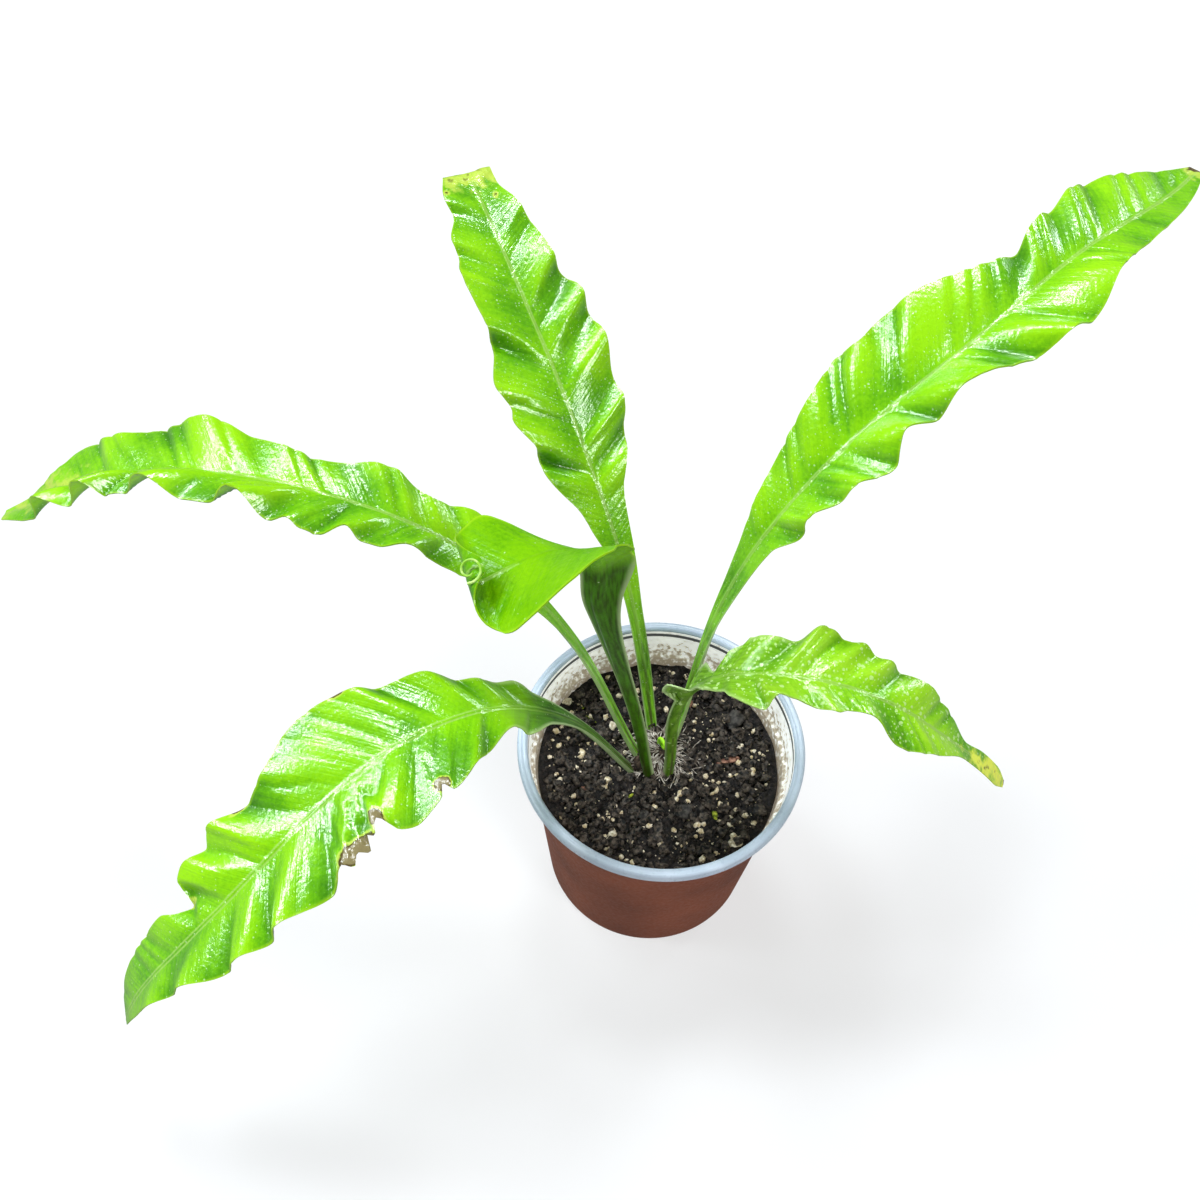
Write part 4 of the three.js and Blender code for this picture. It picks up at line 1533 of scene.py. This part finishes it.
@dataclass
class Crown:
    """The scaly rhizome in the middle, with the fibrous roots round it.

    Its scales and roots stand on a dome that drops by dome_drop from the middle to its radius.
    """

    centre: tuple[float, float] = CROWN_CENTRE
    mat_centre: tuple[float, float] = (1.4, 5.6)
    radius: float = 14
    bottom: float = 72
    top: float = 88
    scale_count: int = 210
    scale_length: float = 7
    scale_radius: float = 0.55
    scale_bend: float = 0.025
    scale_flatness: float = 0.45
    scale_sink: float = 2.4
    fibre_count: int = 190
    fibre_points: int = 7
    dome_drop: float = 5.5
    seed: int = 23

    def rhizome(self) -> Any:
        """Models the squat rhizome as an uneven dome.

        Returns:
            The finished piece.
        """
        bpy.ops.mesh.primitive_ico_sphere_add(subdivisions=5, radius=1)
        dome = active_piece()
        middle = Vector((self.centre[0], self.centre[1], (self.top + self.bottom) / 2))
        half = (self.top - self.bottom) / 2

        def knobbly(place: Vector) -> Vector:
            """Moves a point of the ball to its place on the rhizome."""
            swell = 1 + 0.16 * noise.noise(place * 3) + 0.1 * noise.noise(place * 8)
            flat = Vector((place.x * self.radius, place.y * self.radius, place.z * half)) * swell
            return (middle + flat) * MM

        reshape(dome, knobbly)
        dress(dome, [RHIZOME_BARK.material()])
        return finish_piece(dome, "rhizome", ["crown"], smooth=80)

    def scales(self, rng: random.Random) -> Any:
        """Models one narrow pointed scale, and sets copies round the stalks.

        Args:
            rng: The source of their places.

        Returns:
            The finished piece.
        """
        bpy.ops.mesh.primitive_cone_add(
            vertices=4,
            radius1=self.scale_radius,
            radius2=0.02,
            depth=self.scale_length,
            location=(0, 0, self.scale_length / 2),
        )
        scale = active_piece()
        pick([scale])
        bpy.ops.object.transform_apply(location=True)
        bpy.ops.object.mode_set(mode="EDIT")
        bpy.ops.mesh.select_all(action="SELECT")
        bpy.ops.mesh.subdivide(number_cuts=2)
        bpy.ops.object.mode_set(mode="OBJECT")
        bend, flatness = self.scale_bend, self.scale_flatness
        reshape(scale, lambda p: Vector((p.x + bend * p.z**2, p.y * flatness, p.z)) * MM)
        places = []
        for k in range(self.scale_count):
            angle = 2 * math.pi * (k * 0.618 + 0.2 * rng.random())
            distance = self.radius * (0.1 + 0.85 * math.sqrt(rng.random()))
            x = self.centre[0] + distance * math.cos(angle)
            y = self.centre[1] + distance * math.sin(angle)
            drop = self.dome_drop * (distance / self.radius) ** 2
            lean = Matrix.Rotation(0.5 + 0.9 * rng.random() * distance / self.radius, 4, "Y")
            size = Matrix.Scale(rng.uniform(0.6, 1.15), 4)
            turn = Matrix.Rotation(angle + rng.uniform(-0.5, 0.5), 4, "Z")
            foot = Vector((x, y, self.top - self.scale_sink - drop))
            places.append(Matrix.Translation(foot * MM) @ turn @ lean @ size)
        scales = copies(scale, places)
        dress(scales, [CROWN_SCALE.material()])
        return finish_piece(scales, "crown_scales", [], smooth=40)

    def fibres(self, mix: PottingMix, rng: random.Random) -> Any:
        """Draws fine pale roots that leave the crown and lie over the mix.

        Args:
            mix: What they lie on.
            rng: The source of their places.

        Returns:
            The finished piece.
        """
        threads = []
        for k in range(self.fibre_count):
            angle = rng.uniform(0, 2 * math.pi)
            start = self.radius * rng.uniform(0.1, 0.8)
            reach = rng.uniform(3, 10)
            bend = rng.uniform(-0.6, 0.6)
            points = []
            for i in range(self.fibre_points):
                f = i / (self.fibre_points - 1)
                heading = angle + bend * f
                distance = start + reach * f
                x = self.mat_centre[0] + distance * math.cos(heading) + rng.uniform(-0.25, 0.25)
                y = self.mat_centre[1] + distance * math.sin(heading) + rng.uniform(-0.25, 0.25)
                above = 0.7 + 1.5 * math.sin(math.pi * f) * rng.random()
                dome = self.top - self.dome_drop * (distance / self.radius) ** 2
                z = max(mix.crumbled(x, y), dome) + above
                points.append((x, y, z))
            threads.append(rod(points, rng.uniform(0.1, 0.24)))
        fibres = solid_rods(threads)
        dress(fibres, [ROOT_FIBRE.material()])
        return finish_piece(fibres, "root_fibres", [], smooth=60)

    def build(self, mix: PottingMix) -> None:
        """Models and dresses the crown.

        Args:
            mix: The bed that it stands in.
        """
        rng = random.Random(self.seed)
        self.rhizome()
        self.scales(rng)
        self.fibres(mix, rng)


@dataclass
class Bud:
    """The crozier that is just coming out of the crown, with sizes in mm and its bearing in degrees."""

    foot: tuple[float, float] = (-0.2, 9)
    foot_height: float = FOOT_HEIGHT
    top: float = 91.5
    coil_radius: float = 2.8
    coil_bearing: float = -58
    radius: float = 0.95
    turns: float = 1.1
    tightening: float = 0.62
    steps: int = 18

    def build(self) -> Any:
        """Draws the rolled stalk as a tapered rod.

        Returns:
            The finished piece.
        """
        flat = [(0.0, self.foot_height + (self.top - self.foot_height) * k / 4) for k in range(4)]
        for k in range(self.steps + 1):
            turn = 2 * math.pi * self.turns * k / self.steps
            radius = self.coil_radius * (1 - self.tightening * k / self.steps)
            flat.append((self.coil_radius - radius * math.cos(turn), self.top + radius * math.sin(turn)))
        x, y = math.cos(math.radians(self.coil_bearing)), math.sin(math.radians(self.coil_bearing))
        points = [(self.foot[0] + offset * x, self.foot[1] + offset * y, z) for offset, z in flat]
        bud = solid_rods([rod(points, self.radius, taper=0.35, rounds=3)])
        dress(bud, [CROZIER_SKIN.material()])
        return finish_piece(bud, "bud_crozier", ["frond_bud"], smooth=60)


@dataclass
class TipCoil:
    """The pale rolled margin at the tip of the young frond, with sizes in mm."""

    centre: tuple[float, float, float] = (-70.6, -32.4, 270.2)
    facing: tuple[float, float, float] = (-0.25, -0.45, 0.86)
    radius: float = 4.4
    turns: float = 1.15
    start_angle: float = 1.2
    tightening: float = 0.6
    climb: float = 0.5
    steps: int = 20
    thickness: float = 0.5

    def build(self) -> Any:
        """Draws the coil as a tapered rod.

        Returns:
            The finished piece.
        """
        turn = Vector(self.facing).to_track_quat("Z", "Y")
        points = []
        for k in range(self.steps + 1):
            angle = 2 * math.pi * self.turns * k / self.steps - self.start_angle
            radius = self.radius * (1 - self.tightening * k / self.steps)
            flat = Vector((radius * math.cos(angle), radius * math.sin(angle), self.climb * k / self.steps))
            points.append(Vector(self.centre) + turn @ flat)
        coil = solid_rods([rod(points, self.thickness, taper=0.3, rounds=2)])
        dress(coil, [ROLLED_MARGIN.material()])
        return finish_piece(coil, "young_tip_coil", [], smooth=60)


# The six grown fronds

FRONDS: dict[str, FrondShape] = {
    "frond_back": FrondShape(
        foot=(-2.2, 15.9),
        length=271,
        rise=(70, 69, 60, 47, 37, 26, 16, 2),
        bearing=(118, 119, 121, 123, 121, 120, 117, 117),
        left=Margin(
            [
                (0, 2.2, 0), (0.15, 2.8, 0), (0.27, 3, 0), (0.36, 5, 0), (0.4, 8, 0),
                (0.44, 10.5, 0), (0.52, 19.5, 1), (0.538, 18, -6), (0.557, 19.5, 1.5),
                (0.6, 24, 1.5), (0.615, 22.5, -0.5), (0.65, 26, 2.5), (0.7, 20, -2),
                (0.717, 18.5, -6.5), (0.737, 19, 1.5), (0.82, 20.5, 2), (0.85, 18, -1),
                (0.87, 18.5, 1), (0.92, 13, -1.5), (0.94, 14, 1), (1, 9, 0),
            ]
        ),
        right=Margin(
            [
                (0, 2.2, 0), (0.15, 3, 0), (0.25, 3.5, 0), (0.35, 6, 0), (0.44, 9, 0),
                (0.5, 15.5, 1.5), (0.53, 19, -3.5), (0.58, 22, 1.5), (0.607, 22, -3),
                (0.67, 24, 2.5), (0.712, 23, -4), (0.74, 23, 1.5), (0.785, 19, -4.5),
                (0.81, 18, 1.5), (0.885, 15, -1.5), (0.905, 14, 1), (0.96, 10, -1), (1, 10, 0),
            ]
        ),
        curl=(0.985, -150),
        pleat=0.85,
        seed=0.4,
        patches=[
            Patch(0.985, 0.1, 16, 40, 0.36),
            Patch(0.955, -0.9, 3, 2, 0.45),
            Patch(0.935, 0.6, 4, 2, 0.42),
        ],
        speckle=(0.5, 0.5, 0.45, 0.5, 0.4, 0.25),
    ),
    "frond_tall_right": FrondShape(
        foot=(4.4, 12.8),
        length=381,
        rise=(80, 84, 74, 54, 31, 12, -9, -10),
        bearing=(35, 33, 30, 30, 32, 44, 45, 56),
        left=Margin(
            [
                (0, 2, 0), (0.15, 1.9, 0), (0.22, 2.4, 0), (0.29, 3.8, 0), (0.34, 6.5, 0),
                (0.4, 12, 1), (0.43, 16, -2), (0.505, 22, 2), (0.54, 27, -1.5), (0.565, 25, 1.5),
                (0.587, 28, -2.5), (0.63, 26, 2), (0.712, 17, 0.5), (0.735, 15, -3),
                (0.753, 17, 2.5), (0.775, 19, 2.5), (0.797, 19.5, -2), (0.83, 22, 2),
                (0.87, 22, -1.5), (0.9, 19, 1), (0.94, 14, 0), (0.97, 8.5, 0), (1, 3, 0),
            ]
        ),
        right=Margin(
            [
                (0, 2, 0), (0.15, 1.9, 0), (0.22, 2.4, 0), (0.3, 4.8, 0), (0.37, 7, 0),
                (0.408, 12.5, -2.5), (0.43, 12, 2.5), (0.463, 16, -1.5), (0.483, 16.5, 1.5),
                (0.515, 20, -4), (0.548, 14, 4), (0.573, 16, -2.5), (0.607, 15, 6.5), (0.67, 21, -3),
                (0.7, 23, 3), (0.725, 23, -4), (0.79, 15, 1.5), (0.84, 12, -1), (0.9, 9.5, 0),
                (0.96, 6, 0), (1, 2.5, 0),
            ]
        ),
        fold_left=(12, 12, 15, 22, 28, 22, 10, 8),
        fold_right=(12, 12, 15, 22, 28, 22, 10, 8),
        seed=1.9,
        pleat=1.3,
        patches=[Patch(1, 0.1, 11, 9, 0.47)],
        speckle=(0.6, 0.6, 0.45, 0.3, 0.12, 0.08),
    ),
    "frond_arch_left": FrondShape(
        foot=(-5.8, 4.4),
        length=361,
        rise=(68, 72, 60, 36, 10, -13, -33, -33),
        bearing=(173, 172, 172, 173, 171, 168, 174, 178),
        left=Margin(
            [
                (0, 2, 0), (0.15, 2, 0), (0.28, 2.8, 0), (0.34, 4.2, 0), (0.4, 9, 0),
                (0.455, 11, -2), (0.5, 11.5, 2.5), (0.522, 15.5, -1.5), (0.54, 16, -2),
                (0.557, 14, 2.5), (0.577, 19.5, -2), (0.595, 20, -2), (0.61, 18, 1), (0.625, 20, -2),
                (0.662, 15, 8), (0.688, 18.5, -2.5), (0.712, 19, -2.5), (0.755, 15, 8),
                (0.788, 15, -2.5), (0.812, 15, -2.5), (0.83, 14, 8), (0.87, 14, -3), (0.905, 11, 7),
                (0.94, 10, -2), (1, 3, 0),
            ]
        ),
        right=Margin(
            [
                (0, 2, 0), (0.15, 2, 0), (0.28, 2.8, 0), (0.34, 4.2, 0), (0.4, 11, 0),
                (0.44, 15.5, 1.5), (0.475, 14, -1), (0.49, 13, 0.5), (0.505, 15, -1.5),
                (0.535, 17, 3), (0.61, 14, -2), (0.635, 14.5, 1), (0.683, 18, -2), (0.73, 21, 4),
                (0.795, 20, -2.6), (0.84, 18.5, 2.5), (0.89, 20, -1), (0.92, 14, 1.5),
                (0.945, 9.5, 0), (0.965, 4, 0), (1, 2, 0),
            ]
        ),
        fold_left=(12, 12, 12, 17, 31, 48, 52, 30),
        pleat=1.6,
        seed=3.2,
        patches=[Patch(0.94, 0.3, 42, 18, 0.33)],
        speckle=(0.15, 0.25, 0.4, 0.35, 0.2, 0.1),
    ),
    "frond_low_left": FrondShape(
        foot=(-8, -1.4),
        length=330,
        rise=(64, 64, 42, 7, -26, -40, -50, -73),
        bearing=(195, 200, 206, 216, 221, 215, 205, 199),
        left=Margin(
            [
                (0, 2, 0), (0.1, 2.1, 0), (0.18, 2.6, 0), (0.26, 6, 0), (0.31, 12, -1.5),
                (0.335, 10.5, 2), (0.38, 18, -1), (0.405, 21.5, 1), (0.443, 26.5, -1),
                (0.452, 22.5, 0), (0.462, 27, -1.5), (0.5, 30, -3.5), (0.518, 28, -2),
                (0.53, 19.5, 1), (0.542, 24.5, 2), (0.55, 21.5, 0), (0.558, 27, -1.5),
                (0.568, 24.5, 0), (0.578, 28, 1), (0.587, 24.5, 2.5), (0.62, 28.5, -3),
                (0.683, 23.5, 2.5), (0.703, 25, -2.5), (0.745, 21.5, 2), (0.767, 21.5, -2.5),
                (0.83, 14, 2.5), (0.857, 12.5, -2), (0.9, 9, 1), (0.95, 6, 0), (1, 2, 0),
            ]
        ),
        right=Margin(
            [
                (0, 2, 0), (0.1, 2.1, 0), (0.18, 2.7, 0), (0.27, 7, 0), (0.305, 11, 1.5),
                (0.325, 12, -1), (0.35, 13, 1.5), (0.372, 16, -1.5), (0.405, 21, 2), (0.45, 24, -2),
                (0.475, 27.5, 1.5), (0.54, 31.5, -2), (0.6, 24.5, 1), (0.645, 22, -3), (0.69, 25, 3),
                (0.72, 21.5, -1.5), (0.745, 22, 3), (0.768, 19, 3), (0.782, 10, -3), (0.8, 11, 0),
                (0.825, 14.5, 2), (0.88, 15, -0.5), (0.95, 12, 0), (0.985, 8, 0), (1, 2, 0),
            ]
        ),
        seed=5.3,
        pleat=0.85,
        patches=[
            Patch(0.563, -0.95, 9, 4.5),
            Patch(0.452, -1, 3.5, 3),
            Patch(0.53, -1, 3, 4),
            Patch(0.6, -1, 6, 2, 0.35),
            Patch(0.778, 0.95, 5, 3, 0.45),
            Patch(0.655, 1, 5, 1.5, 0.6),
            Patch(0.49, 1, 6, 1.5, 0.6),
        ],
        speckle=(0.1, 0.1, 0.15, 0.15, 0.2, 0.2),
    ),
    "frond_young": FrondShape(
        foot=(-2.7, -3.5),
        length=238,
        rise=(80, 81, 79, 77, 78, 84, -4, -40),
        bearing=(196, 196, 196, 196, 198, 208, 206, 198),
        roll=(-50, -50, -50, -50, -52, -68, -26, 8),
        left=Margin(
            [
                (0, 2.2, 0), (0.2, 3, 0), (0.36, 3.6, 0), (0.46, 4.7, 0), (0.55, 6.2, 0),
                (0.64, 8.4, 0), (0.73, 13, 0), (0.743, 11.8, 0.8), (0.752, 14.5, 0),
                (0.766, 13.6, 0.6), (0.776, 17, 0), (0.788, 16, 0.5), (0.8, 19.5, 0), (0.82, 20, 0),
                (0.84, 22.5, 0), (0.91, 25, 0), (1, 3, 0),
            ]
        ),
        right=Margin(
            [
                (0, 2.2, 0), (0.2, 3, 0), (0.36, 3.8, 0), (0.46, 4.7, 0), (0.55, 5.5, 0),
                (0.64, 6, 0), (0.73, 6.5, 0), (0.82, 12, 0), (0.91, 27, 0), (1, 3, 0),
            ]
        ),
        fold_left=(15, 15, 15, 15, 15, 15, 0, 0),
        fold_right=(15, 15, 15, 15, 15, 15, 10, 0),
        curl=(0.93, 230),
        pleat=0.25,
        speckle=(0.02, 0.02),
    ),
    "frond_short_right": FrondShape(
        foot=(3.6, -2.8),
        length=251,
        rise=(86, 93, 75, 33, -8, -39, -48, -59),
        bearing=(-8, -12, -14, -14, -7, -4, 4, 11),
        roll=(55, 55, 40, 5, 0, 0, -12, -28),
        left=Margin(
            [
                (0, 2.2, 0), (0.12, 2.5, 0), (0.25, 3.2, 0), (0.295, 4.5, 0), (0.32, 10, 4.5),
                (0.34, 9, 4), (0.36, 5.5, 0), (0.375, 8, -1), (0.39, 11, 2), (0.41, 15.5, -1),
                (0.43, 16, 1.5), (0.475, 15.5, 1), (0.5, 16, -2), (0.542, 21, 3), (0.585, 19, -1),
                (0.605, 19, 1), (0.63, 17, -1.5), (0.65, 16, 1.5), (0.678, 16, -2), (0.73, 14, 2.5),
                (0.79, 12, -0.5), (0.85, 3.5, 0), (0.9, 4.5, 0), (0.96, 4, 0), (1, 1.5, 0),
            ]
        ),
        right=Margin(
            [
                (0, 2.2, 0), (0.12, 2.5, 0), (0.25, 3.2, 0), (0.285, 4.4, 0), (0.3, 9, 5),
                (0.32, 8.5, 6), (0.34, 4.6, 0), (0.385, 9.5, 2), (0.4, 7, -2), (0.425, 11.5, 0),
                (0.475, 15, -2.5), (0.497, 10, 2), (0.55, 11.5, -2), (0.575, 13, 1.5),
                (0.595, 9.5, -1), (0.622, 10, 2), (0.69, 15, -3), (0.77, 10, 0), (0.83, 4.5, 1),
                (0.87, 3.4, 0), (0.96, 3.6, 0), (1, 1.5, 0),
            ]
        ),
        seed=7.1,
        patches=[Patch(1, 0.1, 4, 6, 0.5), Patch(0.935, 0.1, 40, 14, 0.36)],
        speckle=(0.1, 0.3, 0.95, 0.95, 0.8, 0.5),
    ),
}

# Their skins, where they differ from the others

CUTICLES: dict[str, LeafCuticle] = {
    "frond_young": LeafCuticle(
        name="thin_waxed_young_cuticle",
        darkest_green_and_crease_shade="#2d6800",
        deep="#509200",
        lime="#6bab00",
        brightest_green_and_crest_highlight="#82bf00",
        # Its stalk greens are dark and reach up to the fold: painted shade, for the shade that the stalk
        # lies in under the bent-over top
        stalk="#40740a",
        stalk_dark="#304e06",
        groove="#3a4410",
        stalk_from=0.7,
        stalk_to=0.745,
        # Its midrib's pale lines show only near the tip, where they are partly its paler green and partly
        # painted highlight for the glints along its ridge
        rib_from=0.88,
        sheen="#88b840",
        wax=0.35,
    ),
    "frond_short_right": LeafCuticle(
        name="chalk_spotted_leaf_cuticle",
        deep="#68b000",
        lime="#88cc10",
        brightest_green_and_crest_highlight="#a2dc24",
        stalk="#6c9a28",
        stalk_dark="#446c10",
        chalk="#d3efa2",
        yellow="#f0fa48",
        stalk_from=0.28,
        stalk_to=0.62,
        speckle_spacing=2.0,
        speckle_size=0.22,
        speckle_strength=0.55,
    ),
    "frond_low_left": LeafCuticle(
        name="shaded_leaf_cuticle",
        rib_offset=0.75,
        # Its stalk and heel are a darker green: painted shade, for the shade that they lie in
        stalk="#3c6c16",
        stalk_dark="#244808",
        stalk_from=0.24,
        stalk_to=0.4,
    ),
}


# Setting


@dataclass(frozen=True)
class Studio:
    """Floor, light and camera."""

    lens: float = 45
    sensor: float = 36
    camera: tuple[float, float, float] = (-29.38, -296.88, 655.97)
    pitch: float = 56.402
    lean: float = 3.674
    floor_size: float = 6000
    paper: str = "#8e8e8d"
    paper_reflected: str = "#404040"
    backlight: tuple[float, float] = (0.62, 0.1)
    room: str = "#f6f9ff"
    room_light: float = 0.1

    def floor(self) -> None:
        """Lays a plain pale floor."""
        bpy.ops.mesh.primitive_plane_add(size=self.floor_size * MM)
        floor = active_piece()
        floor.name = "floor"
        material, tree = new_material("matt_white_paper")
        # A faint glow stands for the light that comes up through a white backdrop lit from below. The
        # floor is dimmer in reflections, as a backdrop that ends a little way off would be.
        reflected = add_node(tree, "LightPath").outputs["Is Glossy Ray"]
        looks = {
            "Base Color": add_node(tree, "Mix", [reflected, self.paper, self.paper_reflected]),
            "Roughness": 1.0,
            "Emission Color": "#ffffff",
            "Emission Strength": add_node(tree, "MapRange", [reflected, 0.0, 1.0, *self.backlight]),
        }
        add_node(tree, "OutputMaterial", [add_node(tree, "BsdfPrincipled", looks)])
        dress(floor, [material])

    def sun(
        self, name: str, towards: tuple[float, float, float], power: float, spread: float, colour: str
    ) -> None:
        """Adds a far soft light that shines from a direction.

        Args:
            name: What the light is for.
            towards: The direction in which the light stands, seen from the plant.
            power: Its strength.
            spread: The angle that it fills in the sky, in degrees.
            colour: Its colour.
        """
        bpy.ops.object.light_add(type="SUN")
        lamp = active_piece()
        lamp.name = name
        lamp.rotation_mode = "QUATERNION"
        lamp.rotation_quaternion = Vector(towards).to_track_quat("Z", "Y")
        lamp.data.energy = power
        lamp.data.angle = math.radians(spread)
        lamp.data.color = linear(colour)[:3]

    def light(self) -> None:
        """Lights the scene from a bright window above and from the room round it."""
        self.sun("skylight", (-0.05, 0.35, 0.93), 1.55, 13, "#f4f9ff")
        self.sun("window_back", (-0.42, 0.32, 0.85), 1.1, 13, "#eef6ff")
        self.sun("window_left", (-0.8, -0.05, 0.6), 1.7, 17, "#eef7ff")
        self.sun("window_far_left", (-0.68, 0.3, 0.66), 1.0, 15, "#eaf4ff")
        self.sun("window_right", (0.66, 0.66, 0.36), 0.6, 12, "#eef6ff")
        self.sun("lamp_front", (0.5, -0.5, 0.7), 1.4, 18, "#fbfbff")
        world = bpy.data.worlds.new("room")
        bpy.context.scene.world = world
        world.use_nodes = True
        background = world.node_tree.nodes["Background"]
        background.inputs["Color"].default_value = linear(self.room)
        background.inputs["Strength"].default_value = self.room_light

    def aim(self) -> None:
        """Sets the camera where the photograph was taken from."""
        pitch, lean = math.radians(self.pitch), math.radians(self.lean)
        forward = Vector((0, math.cos(pitch), -math.sin(pitch)))
        level = Vector((1, 0, 0))
        upright = level.cross(forward)
        right = level * math.cos(lean) + upright * math.sin(lean)
        up = upright * math.cos(lean) - level * math.sin(lean)
        bpy.ops.object.camera_add()
        camera = active_piece()
        camera.data.lens = self.lens
        camera.data.sensor_width = self.sensor
        camera.data.clip_start = 0.01
        turn = Matrix((right, up, -forward)).transposed().to_4x4()
        camera.matrix_world = Matrix.Translation(Vector(self.camera) * MM) @ turn
        bpy.context.scene.camera = camera

    def build(self) -> None:
        """Sets up the floor, the lights, the camera and plain colour handling."""
        self.floor()
        self.light()
        self.aim()
        bpy.context.scene.view_settings.view_transform = "Standard"


def main() -> None:
    """Builds the plant piece by piece and writes how large it came out."""
    logging.basicConfig(level=logging.INFO, format="%(name)s %(message)s")
    Studio().build()
    Pot().build()
    mix = PottingMix()
    mix.build()
    Crown().build(mix)
    Bud().build()
    TipCoil().build()
    grown = LeafCuticle().material()
    for name, shape in FRONDS.items():
        skin = CUTICLES[name].material() if name in CUTICLES else grown
        slot = Material.YOUNG_LEAF if name == "frond_young" else Material.LEAF
        Frond(name, shape, slot, skin).build()


if __name__ == "__main__":
    main()
